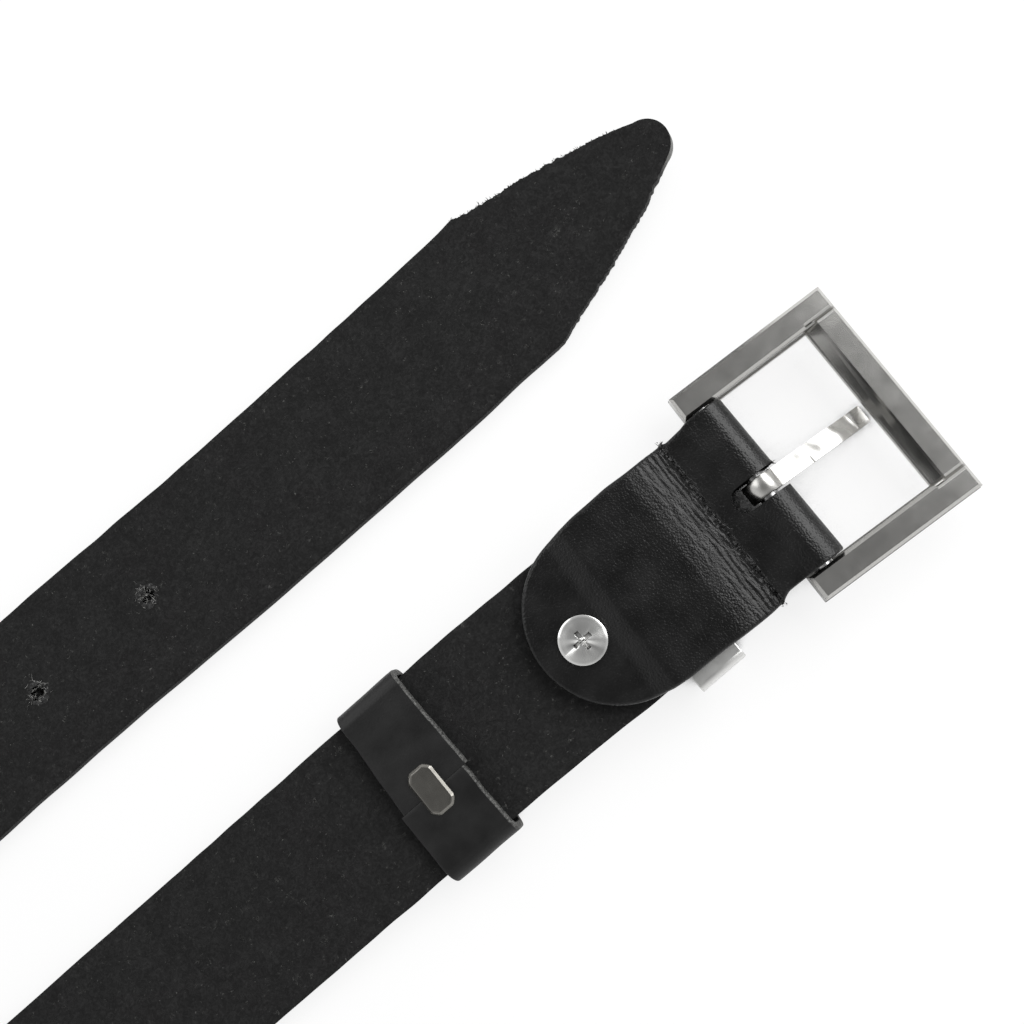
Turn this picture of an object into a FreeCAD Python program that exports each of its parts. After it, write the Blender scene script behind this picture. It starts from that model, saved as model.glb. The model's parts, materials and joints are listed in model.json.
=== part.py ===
"""Leather belt laid back side up: one folded strap, a hinged frame buckle, a keeper and a slider loop.

All lengths are millimetres.  The layout is worked out with the table at z = 0 and the two visible
strands along X; at the end every sub-part is shifted so that the origin is the bottom centre of the
whole belt.  Sizes live in the spreadsheet "Sizes" and every feature reads them from there.
"""
import FreeCAD, Part
import Sketcher

import math
import os

from FreeCAD import Placement, Rotation, Vector

# alias, value, meaning
SIZES = [
    ("strap_width", 35.0, "width of the strap"),
    ("strap_thick", 3.4, "full thickness of the strap"),
    ("strap_total", 1150.0, "length from the fold to the tip"),
    ("skive_thick", 2.0, "thickness of the pared leather round the bar"),
    ("tab_thick", 3.0, "thickness of the return tab"),
    ("layer_gap", 0.3, "air between the strap and the tab"),
    ("ramp_ease", 0.15, "how far the ramp stays below the level it reaches at the keeper"),
    ("level_margin", 2.0, "how far the strap stays level past the keeper, and the ease after it"),
    ("pare_margin", 1.5, "how far past the ridge the main strap is fully pared"),
    ("tab_margin", 1.8, "how far the tab stays level on each side of the keeper"),
    ("ridge_drop", 0.2, "how far the tab has sunk at the ridge"),
    ("flat_beyond", 9.8, "flat strap beyond the last hole, before it turns on edge"),
    ("tip_offset", 35.5, "centre line of the tip strand, across"),
    ("tip_reach", 73.2, "tip point, along"),
    ("tip_taper", 42.6, "length of the tapered tip"),
    ("nose_radius", 5.5, "rounded nose of the tip"),
    ("tip_curl", 290.0, "radius of the upward curl of the tip"),
    ("curl_start", 20.0, "where the curl starts, along"),
    ("hole_count", 5, "size holes"),
    ("hole_radius", 1.75, "size hole radius"),
    ("hole_first", 141.0, "tip point to the first hole"),
    ("hole_step", 30.6, "spacing of the holes"),
    ("hole_offset", 0.8, "how far the row of holes sits off the centre line"),
    ("buckle_offset", -29.2, "centre line of the buckle strand, across"),
    ("ramp_start", -102.0, "where the buckle strand leaves the table, along"),
    ("ramp_turn", -2.0, "where the ramp starts to level out, along"),
    ("bar_reach", 39.1, "bar axis, along"),
    ("bar_level", 8.5, "bar axis above the table"),
    ("bar_radius", 1.9, "radius of the bar"),
    ("bar_clear", 0.08, "running clearance round the bar"),
    ("bar_inset", 0.8, "bar end below the face of the frame"),
    ("buckle_yaw", -4.0, "turn of the bar and buckle about the vertical, degrees"),
    ("ridge_reach", 28.8, "step where the tab gets its full thickness, along"),
    ("tab_reach", -14.8, "rounded end of the tab, along"),
    ("slot_width", 5.2, "slot for the prong"),
    ("slot_reach", 6.8, "end of the slot behind the bar axis"),
    ("keeper_place", 10.7, "centre of the keeper, along"),
    ("keeper_length", 10.4, "keeper, along the strap"),
    ("keeper_wall", 0.9, "sheet thickness of the keeper"),
    ("keeper_play", 1.9, "side play of the strap in the keeper, on each side"),
    ("keeper_shift", -1.5, "keeper centre off the strap centre, across"),
    ("keeper_room", 4.6, "room in the keeper for the tip of the belt"),
    ("keeper_clear", 0.15, "keeper to leather clearance"),
    ("keeper_corner", 1.5, "outer corner radius of the keeper"),
    ("slider_place", -45.6, "centre of the slider loop, along"),
    ("slider_length", 16.2, "slider loop, along the strap"),
    ("slider_wall", 1.6, "leather thickness of the slider loop"),
    ("slider_corner", 2.56, "outer corner radius of the slider loop"),
    ("slider_side", 0.4, "side clearance between slider loop and strap"),
    ("slider_under", 0.25, "clearance below the strap"),
    ("slider_over", 0.9, "room above the strap, for the clinched clip"),
    ("seam_gap", 0.3, "gap of the butt seam of the slider loop"),
    ("seam_offset", -2.4, "butt seam off the strap centre, across"),
    ("clip_length", 10.0, "clip, across the belt"),
    ("clip_width", 6.0, "clip, along the belt"),
    ("clip_thick", 1.0, "clip plate thickness"),
    ("clip_bevel", 0.55, "bevel round the clip plate"),
    ("clip_corner", 1.3, "cut corner of the clip plate"),
    ("leg_thick", 0.5, "clip leg"),
    ("leg_width", 3.4, "clip leg, along the belt"),
    ("leg_span", 6.4, "distance between the two legs"),
    ("clinch_length", 2.2, "how far a clinched leg lies inward"),
    ("leg_clear", 0.05, "leg to leather clearance"),
    ("screw_place", -4.8, "screw axis, along"),
    ("screw_head", 4.75, "radius of the screw head"),
    ("screw_rim", 0.7, "height of the screw head at its rim"),
    ("screw_dome", 0.55, "rise of the dome above the rim"),
    ("screw_shoulder", 2.95, "radius where the dome gets flatter"),
    ("shoulder_rise", 0.3, "height of that place above the rim"),
    ("screw_seat", 0.4, "flat tab round the screw head"),
    ("shank_end", 0.55, "end of the shank above the foot of the strap"),
    ("screw_shank", 1.45, "radius of the screw shank"),
    ("cross_width", 0.9, "width of the cross recess"),
    ("cross_length", 4.0, "length of the cross recess"),
    ("cross_depth", 0.9, "depth of the cross recess"),
    ("post_radius", 2.5, "radius of the hollow post"),
    ("post_bore", 1.5, "radius of the bore of the post"),
    ("post_head", 5.0, "radius of the head of the post"),
    ("post_head_thick", 1.1, "thickness of the head of the post"),
    ("post_floor", 0.33, "floor of the bore above the foot of the strap"),
    ("post_edge", 0.3, "bevel of the head of the post"),
    ("post_short", 0.2, "end of the post below the top of the tab"),
    ("post_clear", 0.05, "post to leather clearance"),
    ("seat_gap", 0.03, "air under the heads of screw and post"),
    ("frame_play", 0.8, "side play of the strap in the frame, on each side"),
    ("frame_front", 31.6, "front of the frame beyond the bar axis"),
    ("frame_back", 3.8, "back end of the side bars behind the bar axis"),
    ("frame_thick", 5.0, "thickness of the frame"),
    ("side_bar", 5.8, "width of a side bar at its foot"),
    ("front_bar", 6.9, "width of the front bar at its foot"),
    ("foot_thick", 1.3, "thickness of the wider foot"),
    ("foot_ledge", 0.3, "ledge of the foot beyond the walls"),
    ("frame_bevel", 0.6, "bevel along the edges of the back face"),
    ("facet_width", 2.2, "sloped inner face of the front bar"),
    ("corner_groove", 0.5, "groove between side bar and front bar"),
    ("groove_depth", 0.4, "depth of that groove"),
    ("frame_shift", -0.2, "frame centre off the strap centre, across"),
    ("prong_overlap", 1.3, "how far the tip of the prong reaches over the front bar"),
    ("prong_width", 3.9, "width of the prong"),
    ("prong_thick", 1.7, "thickness of the prong"),
    ("prong_lift", 0.1, "gap between the tip of the hanging prong and the table"),
    ("prong_clear", 0.06, "running clearance of the eye on the bar"),
    ("eye_wall", 1.5, "wall of the eye of the prong"),
    ("prong_bend", 0.8, "rise of the blade up to its first bend"),
    ("prong_dip", 0.48, "dip of the blade at its second bend"),
    ("first_bend", 0.42, "place of the first bend, as a part of the length"),
    ("second_bend", 0.86, "place of the second bend, as a part of the length"),
    ("bend_radius", 4.16, "radius of both bends"),
    ("tip_edge", 0.25, "bevel round the end of the prong"),
    ("section_step", 12.0, "spacing of the sections where the strap turns on edge"),
    ("loop_radius", 65.0, "radius of the loop behind"),
    ("flare_radius", 150.0, "radius of the outward sweep before the loop"),
]

doc = FreeCAD.newDocument("Belt")
sheet = doc.addObject("Spreadsheet::Sheet", "Sizes")
for row, (alias, value, meaning) in enumerate(SIZES, start=1):
    sheet.set(f"A{row}", alias)
    sheet.set(f"B{row}", str(value))
    sheet.set(f"C{row}", meaning)
    sheet.setAlias(f"B{row}", alias)
doc.recompute()


def size(alias):
    """Value of one cell of the sheet."""
    return float(sheet.get(alias))


def cell(alias):
    """Expression text of one cell."""
    return f"Sizes.{alias}"


def evaluate(text):
    """Value of an expression over the cells of the sheet."""
    return float(sheet.evalExpression(text.replace("Sizes.", "")))


ALONG = Vector(1, 0, 0)
ACROSS = Vector(0, 1, 0)
UPWARD = Vector(0, 0, 1)
WIDTH = size("strap_width")
THICK = size("strap_thick")
HALF_TURN = math.pi / 2
TOOL_HEIGHT = 60.0      # cutting tools reach this far, well past the leather
PAST = 1.0              # outlines that cut start or end this far outside the piece
NEAR = 0.01             # an edge this close to a place counts as being there
PARALLEL = 0.999        # cosine above which an edge counts as parallel
LEAST_CUT = 1e-6        # a pocket that removes less than this removes nothing
STEP_NAME = "parts/{}.step"
STRAND_FLAT = (size("hole_first") + (size("hole_count") - 1) * size("hole_step")
               + size("flat_beyond") - size("tip_reach"))
STRANDS_MIDDLE = (size("tip_offset") + size("buckle_offset")) / 2
STRANDS_HALF_GAP = (size("tip_offset") - size("buckle_offset")) / 2
FRAME_WIDTH = f"({cell('strap_width')} + 2 * ({cell('frame_play')} + {cell('side_bar')}))"
KEEPER_SIDE = f"({cell('strap_width')} + 2 * {cell('keeper_play')})"
PRONG_LENGTH = f"({cell('frame_front')} - {cell('front_bar')} + {cell('prong_overlap')})"


# ---------------------------------------------------------------- side view of the buckle strand
KEEPER_HEIGHT = (2 * size("keeper_wall") + size("keeper_room") + THICK + 2 * size("keeper_clear"))
STRAP_OVER_KEEPER = size("keeper_wall") + size("keeper_room") + size("keeper_clear")
FOLD_INNER = size("bar_radius") + size("bar_clear")
FOLD_OUTER = FOLD_INNER + size("skive_thick")
FOLD_FOOT = size("bar_level") - FOLD_OUTER
RAMP_SLOPE = math.atan2(STRAP_OVER_KEEPER - size("ramp_ease"), size("keeper_place") - size("ramp_start"))
YAW = Rotation(UPWARD, size("buckle_yaw"))
BAR_CENTRE = Vector(size("bar_reach"), size("buckle_offset") + size("frame_shift"), size("bar_level"))


def ramp_point(along, above=0.0):
    """Point of the straight ramp: its foot line at `along`, raised square to the ramp."""
    foot = (along - size("ramp_start")) * math.tan(RAMP_SLOPE)
    return Vector(along - above * math.sin(RAMP_SLOPE), 0, foot + above * math.cos(RAMP_SLOPE))


def side_wire(steps):
    """Closed wire in the XZ plane from points and ("arc", middle, end) steps."""
    edges = []
    here = steps[0]
    for step in steps[1:] + [steps[0]]:
        if isinstance(step, tuple):
            edges.append(Part.Arc(here, step[1], step[2]).toShape())
            here = step[2]
        else:
            edges.append(Part.LineSegment(here, step).toShape())
            here = step
    return Part.Wire(edges)


def round_bar(radius, angle):
    """Point on a circle round the bar axis in the side view, angle up from +X in degrees."""
    turn = math.radians(angle)
    return Vector(size("bar_reach") + radius * math.cos(turn), 0,
                  size("bar_level") + radius * math.sin(turn))


def sweep_across(wire, width):
    """Solid from a side-view wire, swept across the strap along the direction of the bar."""
    face = Part.Face(wire)
    slant = math.tan(-math.radians(size("buckle_yaw")))
    face.translate(Vector(-slant * width / 2, size("buckle_offset") - width / 2, 0))
    return face.extrude(Vector(slant * width, width, 0))


def main_layer():
    """Ramp, level stretch over the keeper and pared end below the bar."""
    start = -STRAND_FLAT
    turn = size("ramp_turn")
    margin = size("level_margin")
    level = size("keeper_place") + size("keeper_length") / 2 + margin
    pared = Vector(size("ridge_reach") + size("pare_margin"), 0,
                   FOLD_FOOT + size("ramp_ease") + size("skive_thick"))
    top = STRAP_OVER_KEEPER + THICK
    foot = [Vector(start, 0, 0), Vector(size("ramp_start"), 0, 0), ramp_point(turn)]
    foot += [Vector(level, 0, STRAP_OVER_KEEPER), round_bar(FOLD_OUTER, -90)]
    head = [round_bar(FOLD_INNER, -90), pared, Vector(level + margin, 0, top), Vector(level, 0, top)]
    head += [ramp_point(turn, THICK), ramp_point(size("ramp_start"), THICK), Vector(start, 0, THICK)]
    return sweep_across(side_wire(foot + head), WIDTH)


def tab_layer():
    """Fold round the bar and the tab that returns over the keeper to its rounded end."""
    tab = size("tab_thick")
    under = KEEPER_HEIGHT + size("keeper_clear")
    level_end = size("keeper_place") - size("keeper_length") / 2 - size("tab_margin")
    level_start = size("keeper_place") + size("keeper_length") / 2 + size("tab_margin")
    seat_end = size("screw_place") + size("screw_head") + size("screw_seat")
    on_strap = THICK + size("layer_gap")
    low_end = ramp_point(size("tab_reach"), on_strap)
    low_near = ramp_point(seat_end, on_strap)
    top_end = ramp_point(size("tab_reach"), on_strap + tab)
    top_near = ramp_point(seat_end, on_strap + tab)
    ridge = size("ridge_reach")
    sunk = under - size("ridge_drop")
    outer = [round_bar(FOLD_OUTER, -90), ("arc", round_bar(FOLD_OUTER, 0), round_bar(FOLD_OUTER, 90))]
    outer += [Vector(ridge, 0, sunk + size("skive_thick")), Vector(ridge, 0, sunk + tab)]
    outer += [Vector(level_start, 0, under + tab), Vector(level_end, 0, under + tab), top_near, top_end]
    inner = [low_end, low_near, Vector(level_end, 0, under), Vector(level_start, 0, under)]
    inner += [Vector(ridge, 0, sunk), round_bar(FOLD_INNER, 90)]
    inner += [("arc", round_bar(FOLD_INNER, 0), round_bar(FOLD_INNER, -90))]
    folded = sweep_across(side_wire(outer + inner), WIDTH)
    radius = WIDTH / 2
    centre = Vector(size("tab_reach") + radius, size("buckle_offset"), 0)
    end = Part.makeCylinder(radius, TOOL_HEIGHT, centre)
    rest = Part.makeBox(TOOL_HEIGHT, WIDTH, TOOL_HEIGHT, centre - Vector(0, radius, 0))
    return folded.common(end.fuse(rest))


def tip_strand():
    """Flat strand with the tapered, slightly curled tip and its row of holes."""
    start = -STRAND_FLAT
    curl = size("curl_start")
    radius = size("tip_curl")
    span = (size("tip_reach") + PAST - curl) / radius

    def bent(part_of, depth):
        turn = span * part_of
        arm = radius - depth
        return Vector(curl + arm * math.sin(turn), 0, radius - arm * math.cos(turn))

    side = side_wire([Vector(start, 0, 0), Vector(curl, 0, 0), ("arc", bent(0.5, 0), bent(1, 0)),
                      bent(1, THICK), ("arc", bent(0.5, THICK), Vector(curl, 0, THICK)),
                      Vector(start, 0, THICK)])
    face = Part.Face(side)
    face.translate(Vector(0, size("tip_offset") - WIDTH / 2, 0))
    strand = face.extrude(Vector(0, WIDTH, 0)).common(tip_outline())
    for number in range(int(size("hole_count"))):
        along = size("tip_reach") - size("hole_first") - number * size("hole_step")
        place = Vector(along, size("tip_offset") + size("hole_offset"), -PAST)
        strand = strand.cut(Part.makeCylinder(size("hole_radius"), TOOL_HEIGHT, place))
    return strand


def tip_outline():
    """Plan outline of the tip strand as a tall prism: straight edges, taper and round nose."""
    nose = size("nose_radius")
    half = WIDTH / 2
    middle = size("tip_offset")
    shoulder = size("tip_reach") - size("tip_taper")
    centre = Vector(size("tip_reach") - nose, middle, 0)
    reach = math.hypot(centre.x - shoulder, half)
    slope = math.atan2(half, centre.x - shoulder) - math.asin(nose / reach)
    upper = centre + Vector(nose * math.sin(slope), nose * math.cos(slope), 0)
    lower = centre + Vector(nose * math.sin(slope), -nose * math.cos(slope), 0)
    start = -STRAND_FLAT
    corners = [Vector(shoulder, middle - half, 0), Vector(start, middle - half, 0),
               Vector(start, middle + half, 0), Vector(shoulder, middle + half, 0)]
    edges = [Part.LineSegment(lower, corners[0]).toShape()]
    edges += [Part.LineSegment(a, b).toShape() for a, b in zip(corners, corners[1:])]
    edges.append(Part.LineSegment(corners[3], upper).toShape())
    edges.append(Part.Arc(upper, centre + Vector(nose, 0, 0), lower).toShape())
    return Part.Face(Part.Wire(edges)).extrude(Vector(0, 0, TOOL_HEIGHT))


def twist_section(run, part_of, side):
    """Rectangle of the strap `run` beyond the flat strand, turned by its part of the quarter turn.

    `side` is 1 on the tip strand and -1 on the buckle strand.
    """
    lean = HALF_TURN * part_of * part_of * (3 - 2 * part_of)
    spread = ACROSS * (side * math.cos(lean)) + UPWARD * math.sin(lean)
    flesh = UPWARD * math.cos(lean) - ACROSS * (side * math.sin(lean))
    level = WIDTH / 2 * math.sin(lean) + THICK / 2 * math.cos(lean)
    centre = Vector(-STRAND_FLAT - run, STRANDS_MIDDLE + side * STRANDS_HALF_GAP, level)
    corners = [centre + spread * (u * WIDTH / 2) + flesh * (v * THICK / 2)
               for u, v in ((-1, -1), (1, -1), (1, 1), (-1, 1))]
    return Part.makePolygon(corners + corners[:1])


def upright_arc(centre, radius, start, turn):
    """Strap that stands on edge, bent round the vertical through `centre`; angles in radians."""
    near, far = radius - THICK / 2, radius + THICK / 2
    corners = [centre + Vector(x, 0, z) for x, z in ((near, 0), (far, 0), (far, WIDTH), (near, WIDTH))]
    face = Part.Face(Part.makePolygon(corners + corners[:1]))
    face.rotate(centre, UPWARD, math.degrees(start))
    return face.revolve(centre, UPWARD, math.degrees(turn))


def loop_run():
    """Pieces of strap between the two flat strands: it turns on edge, sweeps outward and loops round."""
    flare = size("flare_radius")
    ring = size("loop_radius")
    turn = math.acos((STRANDS_HALF_GAP + flare) / (flare + ring))
    flat_used = size("tip_reach") + size("bar_reach") + FOLD_OUTER + 2 * STRAND_FLAT
    straight = (size("strap_total") - flat_used) / 2 - flare * turn - ring * (HALF_TURN + turn)
    steps = round(straight / size("section_step"))
    pieces = []
    for side in (1, -1):
        sections = [twist_section(straight * step / steps, step / steps, side) for step in range(steps + 1)]
        pieces.append(Part.makeLoft(sections, True, False))
        centre = Vector(-STRAND_FLAT - straight, STRANDS_MIDDLE + side * (STRANDS_HALF_GAP + flare), 0)
        pieces.append(upright_arc(centre, flare, -side * HALF_TURN, -side * turn))
    centre = Vector(-STRAND_FLAT - straight - (flare + ring) * math.sin(turn), STRANDS_MIDDLE, 0)
    pieces.append(upright_arc(centre, ring, HALF_TURN - turn, 2 * (HALF_TURN + turn)))
    return pieces


def strap_shape():
    """The whole strap as one solid of leather."""
    leather = tip_strand().fuse(loop_run() + [main_layer(), tab_layer()])
    slot_end = size("slot_width") / 2
    at_bar = Placement(BAR_CENTRE, YAW)
    slot = Part.makeBox(size("slot_reach") + TOOL_HEIGHT, 2 * slot_end, 2 * TOOL_HEIGHT,
                        Vector(slot_end - size("slot_reach"), -slot_end, -TOOL_HEIGHT))
    slot = slot.fuse(Part.makeCylinder(slot_end, 2 * TOOL_HEIGHT,
                                       Vector(slot_end - size("slot_reach"), 0, -TOOL_HEIGHT)))
    slot.Placement = at_bar
    hole = Part.makeCylinder(size("post_radius") + size("post_clear"), TOOL_HEIGHT,
                             Vector(0, 0, -TOOL_HEIGHT / 2))
    hole.Placement = SCREW_FRAME
    return leather.cut([slot, hole]).removeSplitter()


SCREW_FRAME = Placement(ramp_point(size("screw_place")) + Vector(0, size("buckle_offset"), 0),
                        Rotation(Vector(0, 1, 0), -math.degrees(RAMP_SLOPE)))
SLIDER_FRAME = Placement(ramp_point(size("slider_place")) + Vector(0, size("buckle_offset"), 0),
                         Rotation(Vector(0, 1, 0), -math.degrees(RAMP_SLOPE)))


# ---------------------------------------------------------------- PartDesign helpers
def new_body(label):
    """A body whose Label names the sub-part."""
    body = doc.addObject("PartDesign::Body", label)
    body.Label = label
    return body


def plane_of(body, role):
    """Origin plane of a body by its role, such as XY_Plane."""
    return [item for item in body.Origin.OriginFeatures if item.Role == role][0]


def new_sketch(body, name, role, height=None):
    """Sketch on an origin plane, lifted by the expression `height` along the plane's normal."""
    sketch = body.newObject("Sketcher::SketchObject", name)
    sketch.AttachmentSupport = [(plane_of(body, role), "")]
    sketch.MapMode = "FlatFace"
    if height is not None:
        sketch.setExpression("AttachmentOffset.Base.z", height)
    return sketch


def draw_polygon(sketch, corners):
    """Closed polygon; returns the index of its first line."""
    first = sketch.GeometryCount
    points = [Vector(x, y, 0) for x, y in corners]
    for start, end in zip(points, points[1:] + points[:1]):
        sketch.addGeometry(Part.LineSegment(start, end), False)
    count = len(points)
    for number in range(count):
        after = first + (number + 1) % count
        sketch.addConstraint(Sketcher.Constraint("Coincident", first + number, 2, after, 1))
    return first


def pin_corners(sketch, first, corners):
    """Bind each corner of a polygon to expressions for its x and y."""
    for number, (along, across) in enumerate(corners):
        for kind, text in (("DistanceX", along), ("DistanceY", across)):
            index = sketch.addConstraint(Sketcher.Constraint(kind, -1, 1, first + number, 1, 0.0))
            sketch.setExpression(f"Constraints[{index}]", text)
    sketch.recompute()


def bound_polygon(sketch, corners):
    """Closed polygon whose corners are pairs of expressions."""
    values = [(evaluate(x), evaluate(y)) for x, y in corners]
    first = draw_polygon(sketch, values)
    pin_corners(sketch, first, corners)
    return first


def bound_box(sketch, low, high):
    """Rectangle between two corners given as pairs of expressions."""
    return bound_polygon(sketch, [low, (high[0], low[1]), high, (low[0], high[1])])


def bound_circle(sketch, radius):
    """Circle about the sketch origin with its radius bound to an expression."""
    index = sketch.addGeometry(Part.Circle(Vector(0, 0, 0), Vector(0, 0, 1), 1.0), False)
    sketch.addConstraint(Sketcher.Constraint("Coincident", index, 3, -1, 1))
    constraint = sketch.addConstraint(Sketcher.Constraint("Radius", index, 1.0))
    sketch.setExpression(f"Constraints[{constraint}]", radius)


def add_pad(body, sketch, name, length, symmetric=False, down=False):
    """Pad a sketch by an expression."""
    pad = body.newObject("PartDesign::Pad", name)
    pad.Profile = sketch
    pad.setExpression("Length", length)
    pad.SideType = "Symmetric" if symmetric else "One side"
    pad.Reversed = down
    doc.recompute()
    return pad


def add_pocket(body, sketch, name, length, symmetric=False, up=False):
    """Pocket a sketch by an expression and make sure that it removes something."""
    before = body.Shape.Volume
    pocket = body.newObject("PartDesign::Pocket", name)
    pocket.Profile = sketch
    pocket.setExpression("Length", length)
    pocket.SideType = "Symmetric" if symmetric else "One side"
    pocket.Reversed = up
    doc.recompute()
    if body.Shape.Volume >= before - LEAST_CUT:
        raise ValueError(f"{name} removes nothing")
    return pocket


def add_dressing(body, kind, name, chosen, amount):
    """Fillet or Chamfer the edges of the tip for which `chosen(edge)` is true."""
    tip = body.Tip
    names = [f"Edge{number}" for number, edge in enumerate(tip.Shape.Edges, start=1) if chosen(edge)]
    feature = body.newObject(f"PartDesign::{kind}", name)
    feature.Base = (tip, names)
    feature.setExpression("Size" if kind == "Chamfer" else "Radius", amount)
    doc.recompute()
    return feature


def along_axis(edge, axis):
    """True for a straight edge that runs along the given axis."""
    if edge.Curve.TypeId != "Part::GeomLine":
        return False
    direction = (edge.Vertexes[-1].Point - edge.Vertexes[0].Point).normalize()
    return abs(direction.dot(axis)) > PARALLEL


def at_height(edge, height):
    """True for an edge that lies wholly at one height in the body's own frame."""
    return abs(edge.BoundBox.ZMin - height) < NEAR and abs(edge.BoundBox.ZMax - height) < NEAR


# ---------------------------------------------------------------- buckle
def u_corners(inset):
    """Corners of the frame's U, drawn inward from the foot by the expression `inset`."""
    back = f"-{cell('frame_back')}"
    front = f"({cell('frame_front')} - {inset})"
    inner = f"({cell('frame_front')} - {cell('front_bar')} + {inset})"
    side = f"({FRAME_WIDTH} / 2 - {inset})"
    mouth = f"({FRAME_WIDTH} / 2 - {cell('side_bar')} + {inset})"
    return [(back, side), (front, side), (front, f"-{side}"), (back, f"-{side}"),
            (back, f"-{mouth}"), (inner, f"-{mouth}"), (inner, mouth), (back, mouth)]


def build_frame():
    """Cast frame: two side bars and a wider front bar, wider at the foot, the face that shows in wear."""
    body = new_body("buckle_frame")
    low = f"-{cell('frame_thick')} / 2"
    foot = new_sketch(body, "FrameFootOutline", "XY_Plane", low)
    bound_polygon(foot, u_corners("0"))
    add_pad(body, foot, "FrameFoot", cell("foot_thick"))
    wall = new_sketch(body, "FrameWallOutline", "XY_Plane", f"{low} + {cell('foot_thick')}")
    bound_polygon(wall, u_corners(cell("foot_ledge")))
    add_pad(body, wall, "FrameWall", f"{cell('frame_thick')} - {cell('foot_thick')}")
    facet = new_sketch(body, "FacetOutline", "XZ_Plane")
    inner = f"({cell('frame_front')} - {cell('front_bar')})"
    top = f"({cell('frame_thick')} / 2)"
    bound_polygon(facet, [(inner, f"-{top} + {cell('foot_thick')}"),
                          (f"{inner} + {cell('facet_width')}", top), (inner, top)])
    opening = f"{FRAME_WIDTH} - 2 * {cell('side_bar')} + 2 * {cell('foot_ledge')}"
    add_pocket(body, facet, "InnerFacet", opening, symmetric=True)
    high = size("frame_thick") / 2
    facet_top = size("frame_front") - size("front_bar") + size("facet_width")
    add_dressing(body, "Chamfer", "BackFaceBevel",
                 lambda edge: at_height(edge, high) and abs(edge.CenterOfMass.x - facet_top) > NEAR,
                 cell("frame_bevel"))
    for name, side in (("Left", 1), ("Right", -1)):
        groove = new_sketch(body, f"{name}GrooveOutline", "XY_Plane", top)
        edge = f"{side} * ({opening} + {cell('corner_groove')}) / 2"
        start = f"{inner} + {cell('facet_width')} - {cell('frame_bevel')}"
        bound_box(groove, (start, f"{edge} - {cell('corner_groove')} / 2"),
                  (f"{cell('frame_front')} + {PAST}", f"{edge} + {cell('corner_groove')} / 2"))
        add_pocket(body, groove, f"{name}Groove", cell("groove_depth"))
    bore = new_sketch(body, "BarBoreOutline", "XZ_Plane", f"-{FRAME_WIDTH} / 2 - {PAST}")
    bound_circle(bore, cell("bar_radius"))
    add_pocket(body, bore, "BarBore", f"{FRAME_WIDTH} + {PAST} - {cell('bar_inset')}", up=True)
    body.Placement = Placement(BAR_CENTRE, YAW)
    return body


def build_bar():
    """Steel bar pressed into the side bars from one side."""
    bar = doc.addObject("Part::Cylinder", "buckle_bar")
    bar.Label = "buckle_bar"
    bar.setExpression("Radius", cell("bar_radius"))
    bar.setExpression("Height", f"{FRAME_WIDTH} - 2 * {cell('bar_inset')}")
    lying = Rotation(ALONG, -90)
    start = YAW.multVec(Vector(0, size("bar_inset") - evaluate(FRAME_WIDTH) / 2, 0))
    bar.Placement = Placement(BAR_CENTRE + start, YAW.multiply(lying))
    return bar


def build_prong():
    """Flat strip rolled into an eye round the bar, with a slight S along the blade."""
    body = new_body("prong")
    half = f"({cell('prong_thick')} / 2)"
    tip = evaluate(PRONG_LENGTH)
    eye = new_sketch(body, "EyeOutline", "XZ_Plane")
    bound_circle(eye, f"{cell('bar_radius')} + {cell('prong_clear')} + {cell('eye_wall')}")
    add_pad(body, eye, "Eye", cell("prong_width"), symmetric=True)
    blade = new_sketch(body, "BladeOutline", "XZ_Plane")
    middle = [(cell("bar_radius"), cell("prong_bend")),
              (f"{PRONG_LENGTH} * {cell('first_bend')}", cell("prong_bend")),
              (f"{PRONG_LENGTH} * {cell('second_bend')}", f"-{cell('prong_dip')}"), (PRONG_LENGTH, "0")]
    upper = [(x, f"{z} + {half}") for x, z in middle]
    lower = [(x, f"{z} - {half}") for x, z in reversed(middle)]
    bound_polygon(blade, upper + lower)
    add_pad(body, blade, "Blade", cell("prong_width"), symmetric=True)
    bends = (size("first_bend") * tip, size("second_bend") * tip)

    def at_bend(edge):
        return along_axis(edge, ACROSS) and min(abs(edge.CenterOfMass.x - bend) for bend in bends) < NEAR

    add_dressing(body, "Fillet", "BladeBends", at_bend, cell("bend_radius"))
    add_dressing(body, "Chamfer", "TipEdges",
                 lambda edge: edge.BoundBox.XMin > tip - NEAR and edge.BoundBox.XMax < tip + NEAR,
                 cell("tip_edge"))
    bore = new_sketch(body, "EyeBore", "XZ_Plane")
    bound_circle(bore, f"{cell('bar_radius')} + {cell('prong_clear')}")
    add_pocket(body, bore, "EyeHole", f"{cell('prong_width')} + {PAST}", symmetric=True)
    drop = math.asin((size("bar_level") - size("prong_thick") / 2 - size("prong_lift")) / tip)
    body.Placement = Placement(BAR_CENTRE, YAW.multiply(Rotation(ACROSS, math.degrees(drop))))
    return body


# ---------------------------------------------------------------- keeper and slider
def ring_corners(across, low, high, inset):
    """Corner pairs of a rectangle across the strap, drawn inward by `inset`."""
    side = f"({across} / 2 - {inset})"
    return (f"-{side}", f"({low} + {inset})"), (side, f"({high} - {inset})")


def build_ring(label, length, across, low, high, wall, corner):
    """Rectangular ring round the strap with rounded corners; every size is an expression."""
    body = new_body(label)
    outer = new_sketch(body, f"{label}_outer", "YZ_Plane")
    bound_box(outer, *ring_corners(across, low, high, "0"))
    add_pad(body, outer, f"{label}_block", length, symmetric=True)
    add_dressing(body, "Fillet", f"{label}_corners", lambda edge: along_axis(edge, ALONG), corner)
    inner = new_sketch(body, f"{label}_inner", "YZ_Plane")
    bound_box(inner, *ring_corners(across, low, high, wall))
    add_pocket(body, inner, f"{label}_room", f"{length} + {PAST}", symmetric=True)
    return body


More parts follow.
